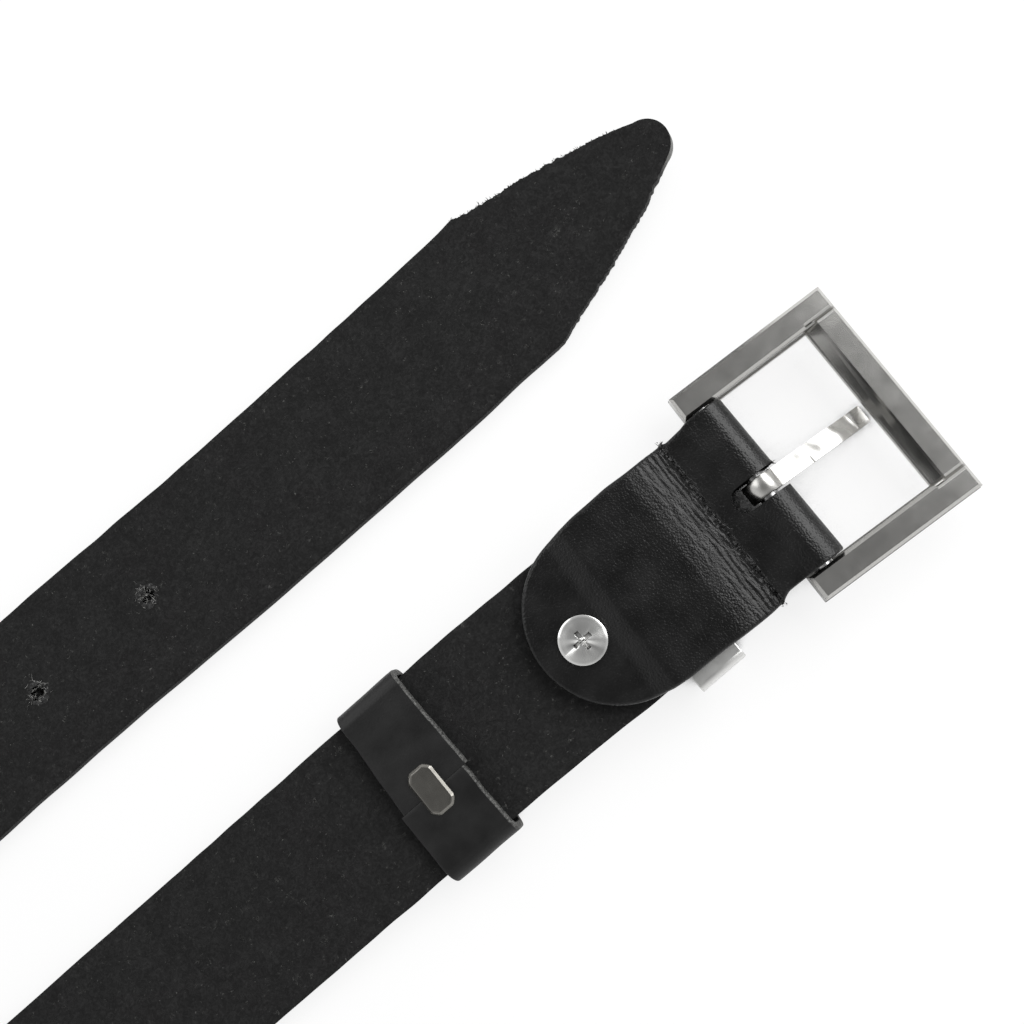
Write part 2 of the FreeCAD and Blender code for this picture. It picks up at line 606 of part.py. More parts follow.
def build_keeper():
    """Bent sheet keeper: its back lies between strap and tab, its front leaves room for the tip."""
    wall = cell("keeper_wall")
    high = f"(2 * {wall} + {cell('keeper_room')} + {cell('strap_thick')} + 2 * {cell('keeper_clear')})"
    body = build_ring("keeper", cell("keeper_length"), f"({KEEPER_SIDE} + 2 * {wall})", "0", high, wall,
                      cell("keeper_corner"))
    inner_edge = evaluate(KEEPER_SIDE) / 2
    add_dressing(body, "Fillet", "keeper_inner_corners",
                 lambda edge: along_axis(edge, ALONG) and abs(abs(edge.CenterOfMass.y) - inner_edge) < NEAR,
                 f"{cell('keeper_corner')} - {wall}")
    body.Placement = Placement(Vector(size("keeper_place"), size("buckle_offset") + size("keeper_shift"), 0),
                               Rotation())
    return body


def slider_levels():
    """Expressions for the under side and the top of the slider loop, above the foot of the strap."""
    low = f"(-{cell('slider_under')} - {cell('slider_wall')})"
    high = f"({cell('strap_thick')} + {cell('slider_over')} + {cell('slider_wall')})"
    return low, high


def build_slider():
    """Leather loop with a butt seam on its back face and two slots for the legs of its clip."""
    low, high = slider_levels()
    wall = cell("slider_wall")
    across = f"({cell('strap_width')} + 2 * {cell('slider_side')} + 2 * {wall})"
    body = build_ring("slider_loop", cell("slider_length"), across, low, high, wall,
                      cell("slider_corner"))
    cut_start = f"{high} + {PAST}"
    cut_depth = f"{PAST} + {wall} + {cell('slider_over')} / 2"
    seam = new_sketch(body, "SeamOutline", "XY_Plane", cut_start)
    seam_at = cell("seam_offset")
    half_length = f"({cell('slider_length')} / 2 + {PAST})"
    bound_box(seam, (f"-{half_length}", f"{seam_at} - {cell('seam_gap')} / 2"),
              (half_length, f"{seam_at} + {cell('seam_gap')} / 2"))
    add_pocket(body, seam, "Seam", cut_depth)
    for name, side in (("Left", 1), ("Right", -1)):
        slot = new_sketch(body, f"{name}SlotOutline", "XY_Plane", cut_start)
        middle = f"({seam_at} + {side} * {cell('leg_span')} / 2)"
        half_thick = f"({cell('leg_thick')} / 2 + {cell('leg_clear')})"
        half_width = f"({cell('leg_width')} / 2 + {cell('leg_clear')})"
        bound_box(slot, (f"-{half_width}", f"{middle} - {half_thick}"),
                  (half_width, f"{middle} + {half_thick}"))
        add_pocket(body, slot, f"{name}Slot", cut_depth)
    body.Placement = SLIDER_FRAME
    return body


def build_clip():
    """Plated clip over the seam: a bevelled plate whose two legs are clinched inside the loop."""
    body = new_body("slider_clip")
    high = slider_levels()[1]
    seam_at = cell("seam_offset")
    half_along = f"({cell('clip_width')} / 2)"
    half_across = f"({cell('clip_length')} / 2)"
    cut = cell("clip_corner")
    plate = new_sketch(body, "PlateOutline", "XY_Plane", high)
    corners = [(half_along, f"{half_across} - {cut}"), (f"{half_along} - {cut}", half_across)]
    corners += [(f"-({x})", y) for x, y in reversed(corners)]
    corners += [(x, f"-({y})") for x, y in reversed(corners)]
    bound_polygon(plate, [(x, f"{seam_at} + {y}") for x, y in corners])
    add_pad(body, plate, "Plate", cell("clip_thick"))
    top = size("strap_thick") + size("slider_over") + size("slider_wall") + size("clip_thick")
    add_dressing(body, "Chamfer", "PlateBevel", lambda edge: at_height(edge, top), cell("clip_bevel"))
    half_thick = f"({cell('leg_thick')} / 2)"
    half_width = f"({cell('leg_width')} / 2)"
    for name, side in (("Left", 1), ("Right", -1)):
        middle = f"({seam_at} + {side} * {cell('leg_span')} / 2)"
        leg = new_sketch(body, f"{name}LegOutline", "XY_Plane", high)
        bound_box(leg, (f"-{half_width}", f"{middle} - {half_thick}"),
                  (half_width, f"{middle} + {half_thick}"))
        depth = f"{cell('slider_wall')} + {cell('leg_clear')} + {cell('leg_thick')}"
        add_pad(body, leg, f"{name}Leg", depth, down=True)
        foot = new_sketch(body, f"{name}ClinchOutline", "XY_Plane",
                          f"{high} - {cell('slider_wall')} - {cell('leg_clear')}")
        inward = f"({middle} - {side} * {cell('clinch_length')})"
        bound_box(foot, (f"-{half_width}", inward), (half_width, f"{middle} + {side} * {half_thick}"))
        add_pad(body, foot, f"{name}Clinch", cell("leg_thick"), down=True)
    body.Placement = SLIDER_FRAME
    return body


# ---------------------------------------------------------------- screw and post
def add_revolution(body, sketch, name):
    """Full turn of a sketch about the body's Z axis."""
    feature = body.newObject("PartDesign::Revolution", name)
    feature.Profile = sketch
    feature.ReferenceAxis = (sketch, ["V_Axis"])
    feature.Angle = 360
    doc.recompute()
    return feature


def build_screw():
    """Domed screw with a cross recess; it turns into the hollow post through strap and tab."""
    body = new_body("tab_screw")
    top = f"({cell('strap_thick')} + {cell('layer_gap')} + {cell('tab_thick')})"
    rim = f"({top} + {cell('screw_rim')})"
    outline = new_sketch(body, "ScrewOutline", "XZ_Plane")
    head = cell("screw_head")
    seat = f"({top} + {cell('seat_gap')})"
    shank = cell("screw_shank")
    shoulder = (cell("screw_shoulder"), f"{rim} + {cell('shoulder_rise')}")
    crown = f"{rim} + {cell('screw_dome')}"
    bound_polygon(outline, [("0", cell("shank_end")), (shank, cell("shank_end")), (shank, seat),
                            (head, seat), (head, rim), shoulder, ("0", crown)])
    add_revolution(body, outline, "ScrewTurned")
    for name, wide, long in (("CrossAlong", "cross_length", "cross_width"),
                             ("CrossOver", "cross_width", "cross_length")):
        cross = new_sketch(body, f"{name}Outline", "XY_Plane", crown)
        bound_box(cross, (f"-{cell(wide)} / 2", f"-{cell(long)} / 2"),
                  (f"{cell(wide)} / 2", f"{cell(long)} / 2"))
        add_pocket(body, cross, name, cell("cross_depth"))
    body.Placement = SCREW_FRAME
    return body


def build_post():
    """Hollow post with a flat head on the face side; the screw runs in its bore."""
    body = new_body("screw_post")
    outline = new_sketch(body, "PostOutline", "XZ_Plane")
    top = f"({cell('strap_thick')} + {cell('layer_gap')} + {cell('tab_thick')} - {cell('post_short')})"
    seat = f"-{cell('seat_gap')}"
    head = f"({seat} - {cell('post_head_thick')})"
    floor = cell("post_floor")
    edge = cell("post_edge")
    wide = cell("post_head")
    bound_polygon(outline, [("0", head), (f"{wide} - {edge}", head), (wide, f"{head} + {edge}"),
                            (wide, seat), (cell("post_radius"), seat), (cell("post_radius"), top),
                            (cell("post_bore"), top), (cell("post_bore"), floor), ("0", floor)])
    add_revolution(body, outline, "PostTurned")
    body.Placement = SCREW_FRAME
    return body


# ---------------------------------------------------------------- assembly
strap = doc.addObject("Part::Feature", "strap")
strap.Label = "strap"
strap.Shape = strap_shape()

pieces = [strap, build_frame(), build_bar(), build_prong(), build_keeper(), build_slider(), build_clip(),
          build_screw(), build_post()]
doc.recompute()

box = FreeCAD.BoundBox()
for piece in pieces:
    box.add(piece.Shape.optimalBoundingBox(False, False))
origin = Vector(box.Center.x, box.Center.y, box.ZMin)
for piece in pieces:
    piece.Placement = Placement(piece.Placement.Base - origin, piece.Placement.Rotation)
doc.recompute()

for item in doc.Objects:
    if "Invalid" in item.State or "Error" in item.State:
        raise ValueError(f"{item.Label} did not compute")
for piece in pieces:
    if piece.Shape.isNull() or not piece.Shape.isValid():
        raise ValueError(f"{piece.Label} has no valid shape")

os.makedirs("parts", exist_ok=True)
for piece in pieces:
    piece.Shape.exportStep(STEP_NAME.format(piece.Label))
    print(f"{piece.Label:14s} solids {len(piece.Shape.Solids)} volume {piece.Shape.Volume:.1f} mm3")
hinge = BAR_CENTRE - origin
print(f"size {box.XLength:.1f} x {box.YLength:.1f} x {box.ZLength:.1f} mm, bar axis at {hinge.x:.3f},"
      f" {hinge.y:.3f}, {hinge.z:.3f}, ramp slope {math.degrees(RAMP_SLOPE):.4f} degrees")
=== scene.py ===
"""Leather belt laid back side up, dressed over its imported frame.

All sizes in the classes below are millimetres of the belt's own layout: X runs along the two flat
strands towards the buckle, Y from the buckle strand to the tip strand, Z up from the table.  One
class, Layout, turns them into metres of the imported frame, from the place of the buckle's hinge.
"""

import json
import logging
import math
from dataclasses import dataclass, field, fields
from enum import Enum

import bpy
import numpy as np
from mathutils import Matrix, Vector

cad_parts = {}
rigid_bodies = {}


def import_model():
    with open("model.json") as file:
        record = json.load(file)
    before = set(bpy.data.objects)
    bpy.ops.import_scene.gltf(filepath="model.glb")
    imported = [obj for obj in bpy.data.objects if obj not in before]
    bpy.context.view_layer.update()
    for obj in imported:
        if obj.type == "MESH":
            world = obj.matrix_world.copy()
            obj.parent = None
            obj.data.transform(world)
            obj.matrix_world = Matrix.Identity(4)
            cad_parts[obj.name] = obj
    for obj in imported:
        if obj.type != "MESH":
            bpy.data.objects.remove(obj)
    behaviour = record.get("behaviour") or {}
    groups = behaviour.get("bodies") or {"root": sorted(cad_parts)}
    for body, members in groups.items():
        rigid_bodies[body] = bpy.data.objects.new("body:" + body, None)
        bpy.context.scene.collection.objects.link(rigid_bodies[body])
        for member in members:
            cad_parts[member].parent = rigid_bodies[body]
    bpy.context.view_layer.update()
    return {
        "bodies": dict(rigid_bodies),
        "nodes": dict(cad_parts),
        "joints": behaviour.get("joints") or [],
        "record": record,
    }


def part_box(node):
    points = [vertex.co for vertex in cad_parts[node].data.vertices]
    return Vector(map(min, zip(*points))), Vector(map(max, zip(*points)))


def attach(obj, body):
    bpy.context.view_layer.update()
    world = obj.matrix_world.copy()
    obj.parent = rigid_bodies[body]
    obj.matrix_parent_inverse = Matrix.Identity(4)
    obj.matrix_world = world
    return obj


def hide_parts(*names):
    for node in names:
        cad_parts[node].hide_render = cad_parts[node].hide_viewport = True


LOG = logging.getLogger("belt")
MM = 0.001
YAW = math.radians(4)           # how far the buckle is turned in the fold, clockwise from above


# ---------------------------------------------------------------- small tools
def srgb(code: str) -> tuple[float, float, float, float]:
    """Turn an sRGB hex colour into the linear colour that a shader socket takes.

    Args:
        code: colour such as "#272727".

    Returns:
        Linear red, green, blue and an alpha of 1.
    """
    parts = [int(code[k:k + 2], 16) / 255 for k in (1, 3, 5)]
    lin = [p / 12.92 if p <= 0.04045 else ((p + 0.055) / 1.055) ** 2.4 for p in parts]
    return (lin[0], lin[1], lin[2], 1.0)


def bumps(points: np.ndarray, size: float, seed: int, waves: int = 10) -> np.ndarray:
    """Smooth unevenness between about -1 and 1.

    It is the mean of plane waves whose directions, phases and lengths are drawn at random but
    always the same for a seed: the sum of sin(k . p + phase), divided by the root of half their number.

    Args:
        points: array (..., 3) of places in millimetres.
        size: typical distance between two humps in millimetres.
        seed: which pattern.
        waves: how many waves are added up.

    Returns:
        Array of the leading shape of `points`.
    """
    rng = np.random.default_rng(seed)
    heading = rng.normal(size=(waves, 3))
    heading /= np.linalg.norm(heading, axis=1, keepdims=True)
    number = 2 * np.pi / (size * rng.uniform(0.7, 1.5, waves))
    phase = rng.uniform(0, 2 * np.pi, waves)
    total = np.sin(points @ (heading * number[:, None]).T + phase).sum(-1)
    return total / math.sqrt(waves / 2) / 1.5


def on_line(along: np.ndarray, beside: float | np.ndarray = 0.0) -> np.ndarray:
    """Places on a line, for the unevenness of an edge.

    Args:
        along: array (n,) of millimetres along the line.
        beside: offset that gives another line its own pattern.

    Returns:
        Array (n, 3) of places.
    """
    return np.stack([along, 0 * along, beside + 0 * along], axis=1)


def flowing(at: np.ndarray, knots: list[float], values: list[float]) -> np.ndarray:
    """Smooth curve through given points, without overshoot.

    Between two knots it is the cubic Hermite piece; the slope at a knot is the harmonic mean of the
    slopes on its two sides, and zero where they differ in sign.

    Args:
        at: places where the curve is wanted.
        knots: rising places of the given points.
        values: their values.

    Returns:
        Values at `at`, constant beyond the ends.
    """
    x, y = np.asarray(knots, float), np.asarray(values, float)
    step = np.diff(x)
    rate = np.diff(y) / step
    slope = np.zeros_like(y)
    same = rate[:-1] * rate[1:] > 0
    inner = np.zeros(len(y) - 2)
    inner[same] = 2 * rate[:-1][same] * rate[1:][same] / (rate[:-1] + rate[1:])[same]
    slope[1:-1] = inner
    slope[0], slope[-1] = rate[0], rate[-1]
    at = np.clip(at, x[0], x[-1])
    k = np.clip(np.searchsorted(x, at, side="right") - 1, 0, len(step) - 1)
    t = (at - x[k]) / step[k]
    return ((1 + 2 * t) * (1 - t) ** 2 * y[k] + t * (1 - t) ** 2 * step[k] * slope[k]
            + t * t * (3 - 2 * t) * y[k + 1] + t * t * (t - 1) * step[k] * slope[k + 1])


def softened(line: np.ndarray, spacing: float, radius: float) -> np.ndarray:
    """Polyline with rounded corners.

    The line is resampled evenly and each point becomes the Gaussian mean of its neighbours; the
    ends are carried straight on before, so that they stay where they are.

    Args:
        line: array (points, columns); its first two columns give the length that counts.
        spacing: distance of the new points in millimetres.
        radius: standard deviation of the mean in millimetres.

    Returns:
        Array (more points, columns).
    """
    run = np.concatenate([[0], np.cumsum(np.linalg.norm(np.diff(line[:, :2], axis=0), axis=1))])
    at = np.arange(0, run[-1], spacing)
    even = np.stack([np.interp(at, run, column) for column in line.T], axis=1)
    reach = int(3 * radius / spacing) + 1
    weight = np.exp(-0.5 * (np.arange(-reach, reach + 1) * spacing / radius) ** 2)
    weight /= weight.sum()
    before = even[0] - (even[1:reach + 1][::-1] - even[0])
    after = even[-1] + (even[-1] - even[-reach - 1:-1][::-1])
    padded = np.concatenate([before, even, after])
    return np.stack([np.convolve(column, weight, "valid") for column in padded.T], axis=1)


def grid_faces(rows: int, columns: int, first: int = 0, turned: bool = False) -> np.ndarray:
    """Quads of a grid whose vertices are numbered row by row.

    Args:
        rows: vertices along the first parameter.
        columns: vertices along the second parameter.
        first: number of the first vertex.
        turned: True to turn the faces round.

    Returns:
        Array (quads, 4) of vertex numbers.
    """
    i = np.arange(rows - 1)[:, None]
    j = np.arange(columns - 1)[None, :]
    quads = np.stack([i * columns + j, (i + 1) * columns + j, (i + 1) * columns + j + 1,
                      i * columns + j + 1], axis=-1).reshape(-1, 4) + first
    return quads[:, ::-1] if turned else quads


def shell_faces(rows: int, columns: int) -> list[np.ndarray]:
    """Faces that close two equal grids of points into one body, the second numbered after the first.

    Args:
        rows: vertices of each grid along the first parameter.
        columns: vertices of each grid along the second parameter.

    Returns:
        Quads of the first grid, of the second grid, of the walls along the first and the last column,
        and of the walls along the first and the last row.
    """
    count = rows * columns
    i = np.arange(rows - 1) * columns
    left = np.stack([i, i + count, i + columns + count, i + columns], axis=1)
    right = left[:, ::-1] + columns - 1
    j = np.arange(columns - 1)
    start = np.stack([j, j + 1, j + 1 + count, j + count], axis=1)
    end = start[:, ::-1] + (rows - 1) * columns
    return [grid_faces(rows, columns), grid_faces(rows, columns, count, turned=True),
            left, right, start, end]


def new_mesh(name: str, points: np.ndarray, faces: list[np.ndarray],
             zones: list[int] | None = None) -> bpy.types.Object:
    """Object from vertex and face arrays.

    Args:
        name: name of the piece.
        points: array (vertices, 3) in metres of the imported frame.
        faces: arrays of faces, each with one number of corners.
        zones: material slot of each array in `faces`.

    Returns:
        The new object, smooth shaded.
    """
    mesh = bpy.data.meshes.new(name)
    mesh.from_pydata(points.tolist(), [], [f for group in faces for f in group.tolist()])
    marks = np.concatenate([np.full(len(group), zone, np.int32)
                            for group, zone in zip(faces, zones or [0] * len(faces))])
    mesh.polygons.foreach_set("material_index", marks)
    mesh.polygons.foreach_set("use_smooth", np.ones(len(marks), bool))
    mesh.update()
    thing = bpy.data.objects.new(name, mesh)
    bpy.context.scene.collection.objects.link(thing)
    return thing


def carve(thing: bpy.types.Object, cutters: list[bpy.types.Object]) -> None:
    """Cut solids out of a piece for good and delete them.

    Args:
        thing: the piece.
        cutters: closed meshes.
    """
    for cutter in cutters:
        step = thing.modifiers.new("cut", "BOOLEAN")
        step.operation = "DIFFERENCE"
        step.solver = "EXACT"
        step.object = cutter
    bpy.context.view_layer.update()
    graph = bpy.context.evaluated_depsgraph_get()
    cut = bpy.data.meshes.new_from_object(thing.evaluated_get(graph))
    thing.modifiers.clear()
    old, thing.data = thing.data, cut
    bpy.data.meshes.remove(old)
    for cutter in cutters:
        bpy.data.objects.remove(cutter)


def prism(name: str, outline: np.ndarray, low: float, high: float) -> bpy.types.Object:
    """Upright closed prism over a plan outline, used to cut.

    Args:
        name: name of the object.
        outline: array (points, 2) in metres, anticlockwise from above.
        low: height of its floor in metres.
        high: height of its top in metres.

    Returns:
        The new object.
    """
    count = len(outline)
    ring = np.concatenate([np.column_stack([outline, np.full(count, level)]) for level in (low, high)])
    k = np.arange(count)
    after = (k + 1) % count
    sides = np.stack([k, after, after + count, k + count], axis=1)
    return new_mesh(name, ring, [sides, k[::-1][None], (k + count)[None]], [2, 2, 2])


# ---------------------------------------------------------------- shader tools
def fill(tree: bpy.types.NodeTree, node: bpy.types.Node, sockets: dict) -> None:
    """Give the inputs of a node their values and links.

    Args:
        tree: the node tree.
        node: the node.
        sockets: a value, a source socket, or a node for its first output, by the input's name or
            number.
    """
    for key, value in sockets.items():
        source = value.outputs[0] if isinstance(value, bpy.types.Node) else value
        if isinstance(source, bpy.types.NodeSocket):
            tree.links.new(source, node.inputs[key])
        else:
            node.inputs[key].default_value = source


def put(tree: bpy.types.NodeTree, kind: str, sockets: dict | None = None,
        stops: list[tuple[float, tuple]] | None = None, **settings) -> bpy.types.Node:
    """Add a node with its settings, values and links.

    Args:
        tree: the node tree.
        kind: the node's type name without the leading "ShaderNode".
        sockets: its inputs, as in fill.
        stops: place and colour of each stop, for a colour ramp.
        **settings: properties of the node.

    Returns:
        The new node.
    """
    node = tree.nodes.new("ShaderNode" + kind)
    for key, value in settings.items():
        setattr(node, key, value)
    fill(tree, node, sockets or {})
    for _ in (stops or [])[2:]:
        node.color_ramp.elements.new(0.5)
    for number, (place, colour) in enumerate(stops or []):
        node.color_ramp.elements[number].position = place
        node.color_ramp.elements[number].color = colour
    return node


def new_material(name: str) -> tuple[bpy.types.Material, bpy.types.NodeTree, bpy.types.Node]:
    """Empty material with a Principled shader.

    Args:
        name: the material's name.

    Returns:
        The material, its node tree and the shader node.
    """
    material = bpy.data.materials.new(name)
    material.use_nodes = True
    tree = material.node_tree
    tree.nodes.clear()
    shader = put(tree, "BsdfPrincipled")
    put(tree, "OutputMaterial", {"Surface": shader})
    return material, tree, shader


# ---------------------------------------------------------------- finishes
@dataclass(frozen=True)
class SuedeFinish:
    """Flesh side of vegetable tanned cowhide, dyed black and buffed: a matte nap of short fibres.

    The eye sees a flat black without gloss, cloudy where the nap lies the other way, with a few fine
    paler hairs.
    """
    name: str = "cowhide_flesh_side"
    dark: str = "#1b1b1b"
    body: str = "#202020"
    light: str = "#272727"
    hair: str = "#565654"
    nap: float = 1.0            # mm between tufts; the real 0.1 mm would not show
    cloud: float = 5.0          # mm, patches where the nap lies the other way
    relief: float = 0.07        # mm
    hair_spacing: float = 1.2   # mm
    hair_bend: float = 1.3      # mm between the bends of a hair
    hair_patch: float = 1.7     # mm, patches with and without hairs
    stroke: float = 2.2         # mm, brushed streaks
    speck: float = 2.6          # mm between the pale specks
    roughness: float = 0.95

    def build(self) -> bpy.types.Material:
        """Make the material.

        Returns:
            The material.
        """
        material, tree, shader = new_material(self.name)
        place = put(tree, "TexCoord").outputs["Object"]
        cloud = put(tree, "TexNoise", {"Vector": place, "Scale": 1 / (self.cloud * MM), "Detail": 4.0,
                                       "Roughness": 0.65})
        fine = put(tree, "TexNoise", {"Vector": place, "Scale": 1 / (self.nap * MM), "Detail": 4.0,
                                      "Roughness": 0.62, "Distortion": 1.6})
        both = put(tree, "MixRGB", {"Fac": 0.30, "Color1": fine.outputs["Fac"],
                                    "Color2": cloud.outputs["Fac"]})
        cover = put(tree, "ValToRGB", {"Fac": both},
                    stops=[(0.40, srgb(self.dark)), (0.50, srgb(self.body)), (0.62, srgb(self.light))])
        bent = put(tree, "TexNoise", {"Vector": place, "Scale": 1 / (self.hair_bend * MM), "Detail": 3.0})
        offset = put(tree, "MixRGB", {"Fac": 0.006, "Color1": place, "Color2": bent.outputs["Color"]})
        hairs = put(tree, "TexVoronoi", {"Vector": offset, "Scale": 1 / (self.hair_spacing * MM)},
                    feature="DISTANCE_TO_EDGE")
        thin = put(tree, "MapRange", {"Value": hairs.outputs["Distance"], "From Min": 0.0, "From Max": 0.05,
                                      "To Min": 1.0, "To Max": 0.0})
        some = put(tree, "TexNoise", {"Vector": place, "Scale": 1 / (self.hair_patch * MM), "Detail": 2.0})
        rare = put(tree, "MapRange", {"Value": some.outputs["Fac"], "From Min": 0.62, "From Max": 0.74})
        mask = put(tree, "Math", {0: thin, 1: rare}, operation="MULTIPLY")
        brushed = put(tree, "TexNoise", {"Vector": place, "Scale": 1 / (self.stroke * MM), "Detail": 3.0,
                                         "Roughness": 0.6, "Distortion": 3.0})
        deep = put(tree, "MapRange", {"Value": brushed.outputs["Fac"], "From Min": 0.44, "From Max": 0.60,
                                      "To Min": 0.78, "To Max": 1.05})
        stroked = put(tree, "MixRGB", {"Fac": 1.0, "Color1": cover, "Color2": deep},
                      blend_type="MULTIPLY")
        dots = put(tree, "TexVoronoi", {"Vector": offset, "Scale": 1 / (self.speck * MM)})
        speck = put(tree, "MapRange", {"Value": dots.outputs["Distance"], "From Min": 0.05, "From Max": 0.10,
                                       "To Min": 0.8, "To Max": 0.0})
        pale = put(tree, "Math", {0: mask, 1: speck}, operation="MAXIMUM")
        colour = put(tree, "MixRGB", {"Fac": pale, "Color1": stroked,
                                      "Color2": srgb(self.hair)})
        relief = put(tree, "Bump", {"Height": fine.outputs["Fac"], "Strength": 0.7,
                                    "Distance": self.relief * MM})
        fill(tree, shader, {"Base Color": colour, "Normal": relief, "Roughness": self.roughness,
                            "Specular IOR Level": 0.15})
        return material


@dataclass(frozen=True)
class GrainFinish:
    """Grain side of cowhide, dyed black and finished with a thin satin top coat.

    The eye sees deep black with fine pebbles that break the gloss, and creases where it is bent.
    """
    name: str = "cowhide_grain_side"
    colour: str = "#070707"
    worn: str = "#101010"
    pebble: float = 0.40        # mm between two pebbles
    pebble_height: float = 0.15  # mm
    crease: float = 1.1         # mm between the creases at a bend
    crease_height: float = 0.32  # mm
    stir: float = 2.4           # mm, bends of the rows of pebbles
    dust: float = 0.4           # mm, grain between the pebbles
    rip: float = 1.3            # mm, gaps in the torn line
    rip_depth: float = 1.0      # mm
    tint: float = 6.0           # mm, worn patches
    roughness: float = 0.29
    creased: bool = True

    def build(self) -> bpy.types.Material:
        """Make the material; the attribute "crease" says where the leather is creased.

        Returns:
            The material.
        """
        material, tree, shader = new_material(self.name)
        place = put(tree, "TexCoord").outputs["Object"]
        stir = put(tree, "TexNoise", {"Vector": place, "Scale": 1 / (self.stir * MM), "Detail": 3.0})
        moved = put(tree, "MixRGB", {"Fac": 0.0006, "Color1": place, "Color2": stir.outputs["Color"]})
        cells = put(tree, "TexVoronoi", {"Vector": moved, "Scale": 1 / (self.pebble * MM),
                                         "Smoothness": 0.5}, feature="SMOOTH_F1")
        dust = put(tree, "TexNoise", {"Vector": place, "Scale": 1 / (self.dust * MM), "Detail": 4.0})
        height = put(tree, "MixRGB", {"Fac": 0.45, "Color1": cells.outputs["Distance"],
                                      "Color2": dust.outputs["Fac"]})
        relief = put(tree, "Bump", {"Height": height, "Strength": 0.75,
                                    "Distance": self.pebble_height * MM}, invert=True)
        last = relief
        if self.creased:
            along = put(tree, "Mapping", {"Vector": place, "Scale": (1.0, 0.22, 1.0),
                                          "Rotation": (0, 0, YAW)})
            folds = put(tree, "TexNoise", {"Vector": along, "Scale": 1 / (self.crease * MM),
                                           "Detail": 4.0, "Roughness": 0.6, "Distortion": 0.8})
            zone = put(tree, "Attribute", attribute_name="crease").outputs["Fac"]
            depth = put(tree, "Math", {0: folds.outputs["Fac"], 1: zone}, operation="MULTIPLY")
            bent = put(tree, "Bump", {"Height": depth, "Strength": 0.9,
                                      "Distance": self.crease_height * MM, "Normal": relief})
            line = put(tree, "MapRange", {"Value": zone, "From Min": 1.05, "From Max": 1.5})
            bits = put(tree, "TexNoise", {"Vector": place, "Scale": 1 / (self.rip * MM), "Detail": 4.0})
            gaps = put(tree, "MapRange", {"Value": bits.outputs["Fac"], "From Min": 0.44, "From Max": 0.56})
            rips = put(tree, "Math", {0: line, 1: gaps}, operation="MULTIPLY")
            last = put(tree, "Bump", {"Height": rips, "Strength": 1.0,
                                      "Distance": self.rip_depth * MM, "Normal": bent}, invert=True)
        tint = put(tree, "TexNoise", {"Vector": place, "Scale": 1 / (self.tint * MM), "Detail": 4.0})
        cover = put(tree, "ValToRGB", {"Fac": tint.outputs["Fac"]},
                    stops=[(0.35, srgb(self.colour)), (0.7, srgb(self.worn))])
        gloss = put(tree, "MapRange", {"Value": tint.outputs["Fac"], "From Min": 0.3, "From Max": 0.7,
                                       "To Min": self.roughness - 0.04, "To Max": self.roughness + 0.08})
        fill(tree, shader, {"Base Color": cover, "Roughness": gloss, "Normal": last,
                            "Specular IOR Level": 0.36})
        return material


@dataclass(frozen=True)
class CutEdgeFinish:
    """Cut edge of the leather, dyed: a thin, finely rough band, with a pale highlight painted where an
    attribute of the mesh marks the lit side of the nose.
    """
    name: str = "cowhide_cut_edge"
    dark: str = "#0b0b0b"
    pale: str = "#171717"
    # colour of the highlight painted on the lit side of the nose's cut edge
    polished: str = "#60605e"
    fibre: float = 0.35         # mm
    relief: float = 0.1         # mm

    def build(self) -> bpy.types.Material:
        """Make the material; an attribute of the mesh says where a pale highlight is painted on the edge.

        Returns:
            The material.
        """
        material, tree, shader = new_material(self.name)
        place = put(tree, "TexCoord").outputs["Object"]
        noise = put(tree, "TexNoise", {"Vector": place, "Scale": 1 / (self.fibre * MM), "Detail": 5.0,
                                       "Roughness": 0.65})
        cover = put(tree, "ValToRGB", {"Fac": noise.outputs["Fac"]},
                    stops=[(0.35, srgb(self.dark)), (0.68, srgb(self.pale))])
        relief = put(tree, "Bump", {"Height": noise.outputs["Fac"], "Strength": 0.5,
                                    "Distance": self.relief * MM})
        # painted highlight: pale colour where the mesh attribute marks the lit side of the nose
        nose_rim_highlight = put(tree, "Attribute", attribute_name="painted_nose_highlight").outputs["Fac"]
        colour = put(tree, "MixRGB", {"Fac": nose_rim_highlight, "Color1": cover,
                                      "Color2": srgb(self.polished)})
        fill(tree, shader, {"Base Color": colour, "Normal": relief, "Roughness": 0.6,
                            "Specular IOR Level": 0.2})
        return material


@dataclass(frozen=True)
class FibreFinish:
    """Loose collagen fibres torn out of the hide: fine matte threads, dark or undyed and paler."""
    name: str
    colour: str
    tone: float = 0.6           # mm between darker and paler places

    def build(self) -> bpy.types.Material:
        """Make the material.

        Returns:
            The material.
        """
        material, tree, shader = new_material(self.name)
        place = put(tree, "TexCoord").outputs["Object"]
        noise = put(tree, "TexNoise", {"Vector": place, "Scale": 1 / (self.tone * MM), "Detail": 2.0})
        cover = put(tree, "ValToRGB", {"Fac": noise.outputs["Fac"]},
                    stops=[(0.35, srgb("#1d1d1d")), (0.62, srgb(self.colour))])
        fill(tree, shader, {"Base Color": cover, "Roughness": 0.9, "Specular IOR Level": 0.2})
        return material


